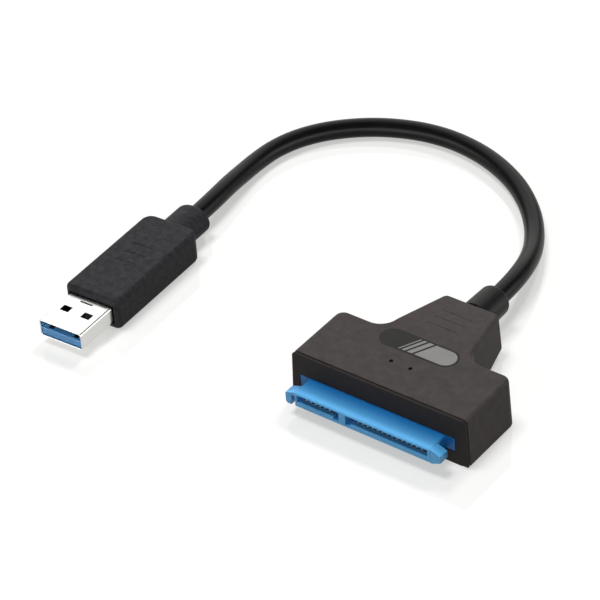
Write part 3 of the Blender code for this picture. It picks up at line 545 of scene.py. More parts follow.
def gathered(meshes: Iterable[Mesh]) -> bmesh.types.BMesh:
    """Puts separate bodies into one bmesh.

    Args:
        meshes: the bodies' meshes.

    Returns:
        The bmesh.
    """
    made = bmesh.new()
    for mesh in meshes:
        made.from_mesh(mesh)
    return made


def quarter(radius: float, steps: int) -> Flat:
    """A quarter round's points: how far each stops short of the end face, and how far it is drawn in."""
    turns = [math.pi / 2 * step / steps for step in range(steps + 1)]
    return [(radius * (1 - math.sin(turn)), radius * (1 - math.cos(turn))) for turn in turns]


def rim_profile(height: float, low_radius: float, high_radius: float, steps: int = 7) -> Flat:
    """How far a rounded slab is drawn in at each height, from its underside to its top.

    Args:
        height: the slab's height.
        low_radius: the rounding of its lower edge.
        high_radius: the rounding of its upper edge.
        steps: chords in each rounding.

    Returns:
        Pairs of height and draw-in.
    """
    lower = [(drawn, short) for short, drawn in quarter(low_radius, steps)]
    return lower + [(height - short, drawn) for short, drawn in quarter(high_radius, steps)]


def placed(name: str, data: bpy.types.ID) -> Item:
    """Puts a new object into the scene.

    Args:
        name: its name.
        data: its mesh, curve, lamp or camera.

    Returns:
        The object.
    """
    item = bpy.data.objects.new(name, data)
    bpy.context.scene.collection.objects.link(item)
    return item


def shaped(mesh: Mesh, tools: Iterable[tuple[Shape, Mesh]]) -> Mesh:
    """The mesh after Booleans with the tools, in order.

    Args:
        mesh: the piece's mesh.
        tools: each tool's mesh and what it does.

    Returns:
        A new mesh with the Booleans applied.
    """
    items = [placed("blank", mesh)]
    for shape, tool in tools:
        items.append(placed("tool", tool))
        boolean = items[0].modifiers.new("Tool", "BOOLEAN")
        boolean.operation = shape.value
        boolean.object = items[-1]
    bpy.context.view_layer.update()
    result = bpy.data.meshes.new_from_object(items[0].evaluated_get(bpy.context.evaluated_depsgraph_get()))
    for item in items:
        bpy.data.objects.remove(item)
    return result


@dataclass(frozen=True)
class Place:
    """Where a sub-assembly stands in the frame, and how its pieces enter the scene.

    Attributes:
        matrix: from the sub-assembly's own coordinates to the frame's.
    """

    matrix: Matrix = Matrix.Identity(4).freeze()

    def add(self, name: str, mesh: Mesh, finish: Finish, slot: str, nodes: Sequence[str] = ()) -> Item:
        """Adds a finished piece that rides on the adapter's body.

        Args:
            name: the piece's name.
            mesh: its mesh, in the sub-assembly's own coordinates.
            finish: its finish.
            slot: the name of a material slot; not used.
            nodes: the CAD nodes that it stands for.

        Returns:
            The new object.
        """
        mesh.transform(self.matrix)
        mesh.materials.clear()
        mesh.materials.append(finish.material())
        mesh.shade_smooth()
        mesh.set_sharp_from_angle(angle=SMOOTH_TURN)
        piece = placed(name, mesh)
        even = piece.modifiers.new("Even normals", "WEIGHTED_NORMAL")
        even.keep_sharp = True
        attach(piece, BODY)
        if nodes:
            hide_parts(*nodes)
        log.info("%s: %d faces, %s", name, len(mesh.polygons), finish.name)
        return piece


def dress(node: str, finish: Finish, edge_mm: float = 0.0) -> Item:
    """Gives a CAD node its finish, and breaks its edges if it has moulded ones.

    Args:
        node: the CAD node's name.
        finish: its finish.
        edge_mm: the rounding of its edges.

    Returns:
        The CAD node's object.
    """
    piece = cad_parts[node]
    piece.data.materials.clear()
    piece.data.materials.append(finish.material())
    if edge_mm:
        weld = piece.modifiers.new("Weld", "WELD")
        weld.merge_threshold = SAME_PLACE
        edge = piece.modifiers.new("Broken edges", "BEVEL")
        edge.width = edge_mm * MM
        edge.segments = BREAK_CHORDS
        edge.limit_method = "ANGLE"
        edge.angle_limit = BROKEN_TURN
        edge.harden_normals = True
    log.info("%s: %s", node, finish.name)
    return piece


@dataclass(frozen=True)
class Housing:
    """The sleeve with its neck, grooves, light holes and printed badge, and the bezel in its mouth."""

    # ABS from a spark-eroded tool: a dark warm grey with a broad, soft sheen. The pits of a real tool are
    # 0.1 mm wide, and they are drawn six times as coarse, so that they show
    sleeve_finish: Finish = Finish(
        "ABS moulded with spark-eroded texture", Surface.ERODED, "#393534", "#494443", 0.52,
        ior=1.53, gloss=0.11, grain_mm=0.6, relief_mm=0.012, drift_mm=2.2, spread=0.08,
    )
    # The same ABS from a finer tool: more matt, with its pits drawn five times as coarse; its darker colour
    # is painted shade for the front face
    bezel_shaded_finish: Finish = Finish(
        "ABS moulded with fine matt texture", Surface.ERODED, "#262222", "#2e2a29", 0.55,
        ior=1.53, gloss=0.10, grain_mm=0.5, relief_mm=0.008, drift_mm=2.5, spread=0.05,
    )
    # Pad-printed inks: a near-black film, and a grey one with metal flakes that glints a little
    dark_ink: Finish = Finish(
        "Dark ink pad-printed", Surface.PRINTED, "#1f1e1c", "#242321", 0.45,
        gloss=0.15, grain_mm=0.25, relief_mm=0.0004, drift_mm=5.0, spread=0.03,
    )
    silver_ink: Finish = Finish(
        "Silver flake ink pad-printed", Surface.PRINTED, "#7b7a79", "#848382", 0.5,
        gloss=0.35, grain_mm=0.22, relief_mm=0.0006, drift_mm=4.0, spread=0.05,
    )
    bar_width: float = 45.6 * MM
    bar_depth: float = 18.4 * MM
    height: float = 12.4 * MM
    length: float = 36.9 * MM
    neck_root: float = 22.6 * MM
    neck_end: float = 14.4 * MM
    neck_drop: float = 1.4 * MM
    neck_rise: float = 1.8 * MM
    draft: float = 0.045
    wall: float = 1.3 * MM
    rear_wall: float = 1.5 * MM
    bar_corner: float = 2.2 * MM
    neck_corner: float = 1.4 * MM
    neck_fillet: float = 4.2 * MM
    top_edge: float = 0.9 * MM
    low_edge: float = 0.4 * MM
    rim_edge: float = 0.2 * MM
    rim_turn: float = math.radians(60)
    least_radius: float = 0.15 * MM
    seam: float = 0.3 * MM
    plate: float = 0.7 * MM
    seat_depth: float = 2.4 * MM
    window_fit: float = 0.15 * MM
    shoulder: float = 0.3 * MM
    board: float = 1.0 * MM
    notch: tuple[float, float] = (1.6 * MM, 0.3 * MM)
    grooves: int = 3
    groove: Triple = (8.0 * MM, 0.3 * MM, 0.07 * MM)
    groove_pitch: float = 2.95 * MM
    groove_from_rear: float = 6.1 * MM
    light_hole: float = 1.0 * MM
    light_spacing: float = 5.08 * MM
    light_from_front: float = 9.1 * MM
    collar_waist: float = 6.2 * MM
    collar_height: float = 6.4 * MM
    rail: tuple[float, float] = (1.8 * MM, 0.8 * MM)
    badge: tuple[float, float] = (20.2 * MM, 6.2 * MM)
    badge_from_front: float = 16.1 * MM
    badge_margin: float = 0.55 * MM
    badge_bars: int = 4
    badge_bar: float = 0.35 * MM
    badge_bar_growth: float = 0.45 * MM
    badge_gap: float = 0.6 * MM
    badge_start: float = -2.6 * MM
    ink: float = 0.02 * MM
    near: float = 0.01 * MM
    overrun: float = 1.0 * MM

    @property
    def bend(self) -> float:
        """Where the neck's top starts to fall."""
        return self.bar_depth + self.neck_fillet

    def along_neck(self, y: float) -> float:
        """How far along the sloping part of the neck a place is, from nought to one."""
        return max(0.0, (y - self.bend) / (self.length - self.bend))

    def ring(self, inset: float, front: float, rear: float) -> Flat:
        """The T outline, drawn in on every side but its front.

        Args:
            inset: how far it is drawn in.
            front: where it starts along Y.
            rear: where its neck ends along Y.

        Returns:
            The outline's points.
        """
        slope = (self.neck_root - self.neck_end) / 2 / (self.length - self.bar_depth)
        draw_in = inset * math.hypot(1.0, slope)
        bar_rear = self.bar_depth - inset
        half, root = self.bar_width / 2 - inset, self.neck_root / 2 - draw_in + slope * inset
        end = self.neck_end / 2 - draw_in + slope * (self.length - rear)
        side = [
            (half, front, 0.0),
            (half, bar_rear, max(self.bar_corner - inset, self.least_radius)),
            (root, bar_rear, self.neck_fillet + inset),
            (end, rear, max(self.neck_corner - inset, self.least_radius)),
        ]
        return rounded_outline(both_sides(side), 12)

    def solid(self, profile: Flat, front: float, rear_wall: float) -> Mesh:
        """The housing's T shape with its draft and its falling neck.

        Args:
            profile: pairs of height and draw-in.
            front: where it starts along Y.
            rear_wall: how far its rear is drawn in at the top, beside its profile.

        Returns:
            The shape as a mesh.
        """
        rings = []
        for height, inset in profile:
            spread = self.draft * (self.height - height)
            rear = self.length - rear_wall - (0.0 if rear_wall else inset) + spread
            rings.append(flat(self.ring(inset - spread, front, rear), height))
        made = gathered([loft(rings)])
        whole = made.verts[:] + made.edges[:] + made.faces[:]
        bmesh.ops.bisect_plane(made, geom=whole, plane_co=(0.0, self.bend, 0.0), plane_no=(0.0, 1.0, 0.0))
        for vertex in made.verts:
            upper = vertex.co.z > self.height / 2
            vertex.co.z += (-self.neck_drop if upper else self.neck_rise) * self.along_neck(vertex.co.y)
        return to_mesh(made)

    def sleeve_mesh(self) -> Mesh:
        """The sleeve: rounded outside, hollow, with its rails, grooves, light holes and collar hole.

        Returns:
            The sleeve as a mesh.
        """
        front, above = self.plate + self.seam, self.height + self.overrun
        made = gathered([self.solid(rim_profile(self.height, self.low_edge, self.top_edge), front, 0.0)])
        rim = [edge for edge in made.edges
               if all(abs(vertex.co.y - front) < self.near for vertex in edge.verts)
               and abs(edge.calc_face_angle()) > self.rim_turn]
        bmesh.ops.bevel(made, geom=rim, offset=self.rim_edge, segments=3, profile=0.5, affect="EDGES")
        inside = [(self.wall, self.wall), (self.height - self.wall, self.wall)]
        waist = self.collar_waist + 2 * self.seam
        bore = [upright(oval(waist, waist), y, self.collar_height)
                for y in (self.length - self.rear_wall - self.overrun, self.length + self.overrun)]
        tools = [(Shape.CUT, self.solid(inside, front - self.overrun, self.rear_wall)),
                 (Shape.CUT, loft(bore))]
        length, width, depth = self.groove
        for index in range(self.grooves):
            y = self.length - self.groove_from_rear - index * self.groove_pitch
            floor = self.height - self.neck_drop * self.along_neck(y) - depth
            tools.append((Shape.CUT, prism(slot_outline((0.0, y), length, width, 8), floor, above)))
        board_low, board_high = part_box("circuit_board")
        rail_top = board_high.z - self.board - self.seam
        rail_front = board_low.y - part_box("front_bezel")[0].y + self.seam
        rail_rear, rail_reach = self.bar_depth - self.wall - self.bar_corner, self.wall + self.rail[0]
        for side in (-1, 1):
            hole = [(x + side * self.light_spacing / 2, y + self.light_from_front)
                    for x, y in oval(self.light_hole, self.light_hole, 36)]
            tools.append((Shape.CUT, prism(hole, self.height / 2, above)))
            outside = side * self.bar_width / 2
            tools.append((Shape.JOIN, block(
                (outside, rail_front, rail_top - self.rail[1]),
                (outside - side * rail_reach, rail_rear, rail_top),
            )))
        return shaped(to_mesh(made), tools)

    def bezel_mesh(self) -> Mesh:
        """The bezel: a thin rim plate with the receptacle's window, and two bars that seat in the sleeve.

        Returns:
            The bezel as a mesh.
        """
        half, seat = self.bar_width / 2, self.wall + self.seam
        foot, inside = half + self.draft * self.height, half - seat
        corners = [(-foot, 0.0, self.low_edge), (foot, 0.0, self.low_edge),
                   (half, self.height, self.top_edge), (-half, self.height, self.top_edge)]
        plate = loft([upright(drawn_in(corners, inset, 10), y)
                      for y, inset in rim_profile(self.plate, self.rim_edge, self.rim_edge, 4)])
        face, (low, high) = ReceptacleFace(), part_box("sata_receptacle")
        rear = self.plate + self.seat_depth
        bars = ((high.z + self.shoulder, self.height - seat), (seat, low.z - self.shoulder))
        tools = [(Shape.JOIN, block((-inside, self.plate / 2, foot_z), (inside, rear, head_z)))
                 for foot_z, head_z in bars]
        tools += [(Shape.CUT, block(
            (face.shift - reach, -self.overrun, sill), (face.shift + reach, rear + self.overrun, head),
        )) for reach, sill, head in face.windows(self.window_fit)]
        tools += [(Shape.CUT, block(
            (side * (foot - self.notch[0]), -self.overrun, -self.overrun),
            (side * (foot + self.overrun), self.plate + self.seam, self.notch[1]),
        )) for side in (-1, 1)]
        return shaped(plate, tools)

    def badge_meshes(self) -> tuple[Mesh, Mesh]:
        """The badge: a dark field with round ends, and slanted silver bars that widen across it.

        Returns:
            The dark film and the silver film.
        """
        (length, width), y, top, ink = self.badge, self.badge_from_front, self.height, self.ink
        field = prism(slot_outline((0.0, y), length, width), top - ink, top + ink)
        margin = 2 * self.badge_margin
        silver = prism(slot_outline((0.0, y), length - margin, width - margin), top, top + 2 * ink)
        lean, start, bars = width / 4, self.badge_start, []
        for index in range(self.badge_bars):
            # Each bar is wider than the one before, and the last runs past the round end.
            last = index == self.badge_bars - 1
            end = start + (length if last else self.badge_bar + self.badge_bar_growth * index)
            corners = [(start - lean, y - width / 2), (end - lean, y - width / 2),
                       (end + lean, y + width / 2), (start + lean, y + width / 2)]
            bars.append(prism(corners, top - ink, top + 3 * ink))
            start = end + self.badge_gap
        return field, shaped(silver, [(Shape.KEEP, to_mesh(gathered(bars)))])

    def build(self) -> list[Item]:
        """Adds the sleeve, the bezel and the badge's two films.

        Returns:
            The four pieces.
        """
        place = Place(Matrix.Translation((0.0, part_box("front_bezel")[0].y, 0.0)))
        field, silver = self.badge_meshes()
        return [
            place.add("housing_shell", self.sleeve_mesh(), self.sleeve_finish, "housing_abs",
                      ["housing_sleeve"]),
            place.add("bezel_face", self.bezel_mesh(), self.bezel_shaded_finish, "bezel_abs", ["front_bezel"]),
            place.add("badge_field", field, self.dark_ink, "housing_abs"),
            place.add("badge_bars", silver, self.silver_ink, "housing_abs"),
        ]


@dataclass(frozen=True)
class ReceptacleFace:
    """The blue receptacle's sizes at the bezel, and its finish."""

    shift: float = -0.35 * MM
    width: float = 36.1 * MM
    bottom: float = 3.0 * MM
    body_height: float = 3.8 * MM
    wing_width: float = 40.8 * MM
    wing_rise: float = 0.1 * MM
    wing_height: float = 3.3 * MM
    reach: float = 5.7 * MM
    edge_mm: float = 0.12
    slot_top: float = 5.85 * MM
    cavity_top: float = 6.3 * MM
    mouth: float = 0.9 * MM
    rib: float = 0.41 * MM
    rib_round: float = 0.9
    rib_hang: float = 0.12 * MM
    lip_chamfer: float = 0.12 * MM

    def windows(self, fit: float) -> list[Triple]:
        """Half width, bottom and top of the bezel's openings for the wings and for the body.

        Args:
            fit: the air round them.

        Returns:
            One triple for each opening.
        """
        wing_top = self.bottom + self.body_height + self.wing_rise
        return [
            (self.wing_width / 2 + fit, wing_top - self.wing_height - fit, wing_top + fit),
            (self.width / 2 + fit, self.bottom - fit, wing_top),
        ]

    def finish(self) -> Finish:
        """Glass-filled PBT from a polished tool: a saturated blue, with painted light making it paler
        towards the front lip.

        Returns:
            The finish, with its lip where the frame has it.
        """
        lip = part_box("sata_receptacle")[0].y
        # The pale colour at the lip is painted light, fading back to the base blue over the receptacle's
        # reach
        return PaintedLipRamp(
            "PBT moulded blue", Surface.POLISHED, "#186cb0", "#1e75ba", 0.34, ior=1.57, gloss=0.32,
            grain_mm=0.5, relief_mm=0.0015, drift_mm=7.0, spread=0.04, glow=0.12,
            pale="#62b6f0", lip_y=lip, deep_y=lip + self.reach,
        )

    def ribs_mesh(self, rows: Sequence[Sequence[str]]) -> Mesh:
        """The round-nosed ribs that part the contacts at the mouths of the two slots.

        Args:
            rows: the names of the contacts in each slot.

        Returns:
            All the ribs as one mesh.
        """
        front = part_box("sata_receptacle")[0].y + self.lip_chamfer
        rear, half, ribs = front + self.mouth, self.rib / 2, []
        nose = half * self.rib_round
        for row in rows:
            places = sorted((low.x + high.x) / 2 for low, high in map(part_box, row))
            for left, right in zip(places, places[1:]):
                x = (left + right) / 2
                outline = rounded_outline([
                    (x - half, rear, 0.0), (x + half, rear, 0.0),
                    (x + half, front, nose), (x - half, front, nose),
                ], 4)
                ribs.append(prism(outline, self.slot_top - self.rib_hang, self.cavity_top + self.rib_hang))
        return to_mesh(gathered(ribs))

    def build(self) -> list[Item]:
        """Dresses the receptacle and its two rows of contacts, and adds the ribs between them.

        Returns:
            Every piece of it.
        """
        pieces = [dress("sata_receptacle", self.finish(), self.edge_mm)]
        rows = [[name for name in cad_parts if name.startswith(kind)]
                for kind in ("signal_contact_", "power_contact_")]
        pieces.append(Place().add("contact_ribs", self.ribs_mesh(rows), self.finish(), "receptacle_blue"))
        return pieces + [dress(name, CONTACT_PAINTED_SHADE, 0.03) for row in rows for name in row]


# Phosphor bronze strip, dull nickel-plated, streaked lengthwise; its dark neutral grey is painted shade for
# the deep slots and the plug's mouth
CONTACT_PAINTED_SHADE = Finish(
    "Phosphor bronze strip nickel-plated with painted slot shade", Surface.ROLLED, "#3d3e42", "#4a4b50", 0.45, 1.0,
    grain_mm=0.08, relief_mm=0.0004, drift_mm=2.0, spread=0.06,
)
# Steel sheet rolled, folded and nickel-plated: near white, with fine lines along the plug
NICKEL_STEEL = Finish(
    "Nickel-plated rolled steel", Surface.ROLLED, "#ecebe8", "#f4f3f1", 0.24, 1.0,
    grain_mm=0.16, relief_mm=0.0008, drift_mm=6.0, spread=0.07,
)
# Flexible PVC moulded round the cord: black and smoother than the housing, with a soft glint
PVC_COLLAR = Finish(
    "PVC moulded on the cord", Surface.POLISHED, "#161515", "#1c1a1a", 0.4,
    ior=1.53, gloss=0.18, grain_mm=0.4, relief_mm=0.003, drift_mm=6.0, spread=0.06,
)


@dataclass(frozen=True)
class Inside:
    """The board, what is soldered to it, and the wires, which show only through holes and cut views."""

    # Glass laminate under green lacquer: glossy, with the etched tracks as paler lines
    laminate: Finish = Tracked(
        "Glass laminate with green solder mask", Surface.MASKED, "#14542f", "#1b6338", 0.3, ior=1.52,
        grain_mm=0.2, relief_mm=0.001, drift_mm=5.0, track="#2c7f4b", track_mm=0.8,
    )
    # Silica-filled epoxy: charcoal and dead matt, with a fine sparkle of filler
    epoxy: Finish = Finish(
        "Silica-filled epoxy moulding compound", Surface.SPECKLED, "#232324", "#2c2c2e", 0.55, ior=1.55,
        grain_mm=0.08, relief_mm=0.0008, drift_mm=3.0,
    )
    # Sintered ferrite: dark grey and slightly sparkling, like a fine stone
    ferrite: Finish = Finish(
        "Sintered ferrite", Surface.SPECKLED, "#37373a", "#424245", 0.6, ior=1.9,
        grain_mm=0.12, relief_mm=0.001, drift_mm=2.0,
    )
    # Fired ceramic: a dull tan biscuit
    ceramic: Finish = Finish(
        "Fired barium titanate ceramic", Surface.SPECKLED, "#a98a62", "#b8986f", 0.45, ior=1.7,
        grain_mm=0.1, relief_mm=0.0006, drift_mm=1.5,
    )
    # Clear epoxy lens with a milky tint over the lamp's chip
    lens: Finish = Finish(
        "Diffused epoxy lens", Surface.POLISHED, "#cfd8d4", "#dfe6e2", 0.2, ior=1.51,
        grain_mm=0.3, relief_mm=0.0004, drift_mm=1.0, glow=0.4,
    )
    # Tinned copper strands: a grey, soft metal shine
    tinned: Finish = Finish(
        "Tinned copper strand", Surface.ROLLED, "#b9b8b6", "#c9c8c6", 0.35, 1.0,
        grain_mm=0.12, relief_mm=0.002, drift_mm=2.0,
    )
    wires: tuple[tuple[str, str, str], ...] = (
        ("power_wire", "#9c1f1f", "#ad2a28"), ("data_minus_wire", "#dcdcd8", "#e8e8e4"),
        ("data_plus_wire", "#1f7a3c", "#2a8a48"), ("ground_wire", "#1c1c1c", "#242424"),
        ("send_minus_wire", "#1f4aa0", "#2a58b0"), ("send_plus_wire", "#d8c02c", "#e4cd40"),
        ("receive_minus_wire", "#6a2f8a", "#783c98"), ("receive_plus_wire", "#d8701f", "#e2802c"),
    )

    def build(self) -> list[Item]:
        """Dresses every piece inside the housing.

        Returns:
            The pieces.
        """
        chips = ("bridge_chip", "flash_memory", "voltage_regulator")
        pieces = [dress("circuit_board", self.laminate, 0.05)]
        pieces += [dress(name, self.epoxy, 0.08) for name in chips]
        pieces.append(dress("crystal", NICKEL_STEEL, 0.15))
        pieces.append(dress("power_inductor", self.ferrite, 0.15))
        pieces += [dress(name, self.ceramic, 0.06) for name in ("capacitor_left", "capacitor_right")]
        pieces += [dress(name, self.lens, 0.1) for name in ("power_light", "activity_light")]
        pieces.append(dress("drain_wire", self.tinned))
        for name, colour, drift in self.wires:
            # Extruded PVC insulation: even, bright and half glossy
            insulation = Finish(
                f"PVC extruded insulation of {name}", Surface.EXTRUDED, colour, drift, 0.35, ior=1.53,
                grain_mm=0.5, relief_mm=0.001, drift_mm=3.0,
            )
            pieces.append(dress(name, insulation))
        return pieces


@dataclass(frozen=True)
class Collar:
    """The strain relief behind the housing: a tapered collar, a waist and a flange inside."""

    root: float = 8.1 * MM
    end: float = 7.7 * MM
    break_edge: float = 0.15 * MM
    rounding: float = 1.2 * MM
    waist: float = 6.2 * MM
    flange_width: float = 9.0 * MM
    flange_depth: float = 2.0 * MM
    bore: float = 4.9 * MM
    dimple_width: float = 0.2 * MM
    dimple: float = 0.35 * MM

    def build(self, housing: Housing) -> Item:
        """Adds the collar, turned about the cord's exit line.

        Args:
            housing: the housing whose rear wall it passes through.

        Returns:
            The new piece.
        """
        low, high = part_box("strain_relief")
        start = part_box("front_bezel")[0].y + housing.length + housing.draft * housing.height
        flange_rear, wall = low.y + self.flange_depth, housing.wall + housing.seam
        profile = [(self.waist / 2, flange_rear - self.flange_depth / 2), (self.waist / 2, start),
                   (self.root / 2 - self.break_edge, start), (self.root / 2, start + self.break_edge)]
        profile += [(self.end / 2 - drawn, high.y - short) for short, drawn in quarter(self.rounding, 8)]
        # The mould leaves a shallow dimple round the cord.
        profile += [(self.bore / 2 + self.dimple_width, high.y), (self.bore / 2, high.y - self.dimple)]
        rings = [upright(oval(2 * radius, 2 * radius), y, housing.collar_height) for radius, y in profile]
        flange = block(
            (-self.flange_width / 2, low.y, housing.neck_rise + wall),
            (self.flange_width / 2, flange_rear, housing.height - housing.neck_drop - wall),
        )
        mesh = shaped(loft(rings), [(Shape.JOIN, flange)])
        return Place().add("cord_collar", mesh, PVC_COLLAR, "relief_black", ["strain_relief"])


@dataclass(frozen=True)
class Cord:
    """The free cord from the collar to the plug: its route, repeated from the CAD, and its jacket."""

    # PVC jacket drawn through a die: near black with a soft, long and even highlight
    jacket: Finish = Finish(
        "PVC extruded cord jacket", Surface.EXTRUDED, "#0b0a0a", "#100e0f", 0.32, ior=1.54, gloss=0.14,
        grain_mm=1.1, relief_mm=0.004, drift_mm=10.0, spread=0.04,
    )
    diameter: float = 4.8 * MM
    spacing: float = 2.0 * MM
    samples: int = 16
    section_chords: int = 10
    gap: float = 0.3 * MM
    tuck: float = 0.6 * MM
    route_mm: tuple[Triple, ...] = (
        (0.0, 0.0, 6.4), (-0.4, 6.5, 6.2), (-1.6, 12.9, 5.5), (-3.7, 19.2, 4.3), (-6.5, 25.1, 3.2),
        (-10.0, 30.7, 2.6), (-14.1, 35.8, 2.45), (-18.8, 40.3, 2.45), (-24.0, 44.2, 2.45),
        (-29.8, 47.4, 2.45), (-35.9, 49.8, 2.45), (-42.3, 51.3, 2.45), (-48.8, 51.8, 2.45),
        (-55.3, 51.1, 2.45), (-61.6, 49.2, 2.45), (-67.5, 46.3, 2.45), (-72.8, 42.4, 2.45),
        (-77.3, 37.7, 2.45), (-80.7, 32.1, 2.45), (-82.7, 25.8, 2.45), (-83.2, 19.3, 2.5),
        (-82.8, 12.8, 2.85), (-81.9, 6.2, 3.55), (-80.9, -0.3, 4.0), (-80.2, -8.4, 4.1),
    )
    heading: float = math.radians(2.65)

    @property
    def exit(self) -> Vector:
        """Where the cord leaves the collar."""
        return Vector((0.0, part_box("strain_relief")[1].y, self.route_mm[0][2] * MM))

    def route(self) -> list[Vector]:
        """The route's chosen points, in the frame."""
        return [Vector((x * MM, y * MM + self.exit.y, z * MM)) for x, y, z in self.route_mm]

    def plug_matrix(self, plug_height: float) -> Matrix:
        """Where the plug lies: at the route's end, turned to its heading.

        Args:
            plug_height: the height of the plug's grip, which lies flat.

        Returns:
            The matrix from the plug's coordinates to the frame's.
        """
        along = Vector((-math.sin(self.heading), math.cos(self.heading), 0.0))
        end = self.route()[-1] - along * self.gap
        place = Vector((end.x, end.y, plug_height / 2))
        return Matrix.Translation(place) @ Matrix.Rotation(self.heading, 4, "Z")

    def smooth(self) -> list[Vector]:
        """Evenly spaced points on a Catmull-Rom curve through the route.

        Returns:
            The points, a little longer at each end so that the cord runs into both collars.
        """
        route, fine = self.route(), []
        for index in range(len(route) - 1):
            before = route[index - 1] if index else 2 * route[0] - route[1]
            start, end = route[index], route[index + 1]
            after = route[index + 2] if index + 2 < len(route) else 2 * route[-1] - route[-2]
            for sample in range(self.samples):
                t = sample / self.samples
                fine.append(0.5 * (
                    2 * start + (end - before) * t + (2 * before - 5 * start + 4 * end - after) * t ** 2
                    + (3 * start - before - 3 * end + after) * t ** 3
                ))
        fine.append(route[-1])
        fine[0] = fine[0] - Vector((0.0, self.tuck, 0.0))
        fine.append(fine[-1] + (fine[-1] - fine[-2]).normalized() * (self.gap + self.tuck))
        length = sum((b - a).length for a, b in zip(fine, fine[1:]))
        count = round(length / self.spacing)
        step, travelled, picked = length / count, 0.0, [fine[0]]
        for a, b in zip(fine, fine[1:]):
            travelled += (b - a).length
            if travelled >= step * len(picked) and len(picked) < count:
                picked.append(b)
        return picked + [fine[-1]]

    def build(self, pieces_on_it: Sequence[Item]) -> Item:
        """Args:
            pieces_on_it: the plug's pieces and the collar; not used.

        Returns:
            The cord as a curve with a round section.
        """
        points = self.smooth()
        curve = bpy.data.curves.new("cord", "CURVE")
        curve.dimensions = "3D"
        curve.bevel_depth = self.diameter / 2
        curve.bevel_resolution = self.section_chords
        curve.use_fill_caps = True
        curve.twist_mode = "MINIMUM"
        spline = curve.splines.new("POLY")
        spline.points.add(len(points) - 1)
        for point, place in zip(spline.points, points):
            point.co = (*place, 1.0)
        spline.use_smooth = True
        curve.materials.append(self.jacket.material())
        piece = placed("cord", curve)
        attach(piece, BODY)
        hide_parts("cable")
        return piece


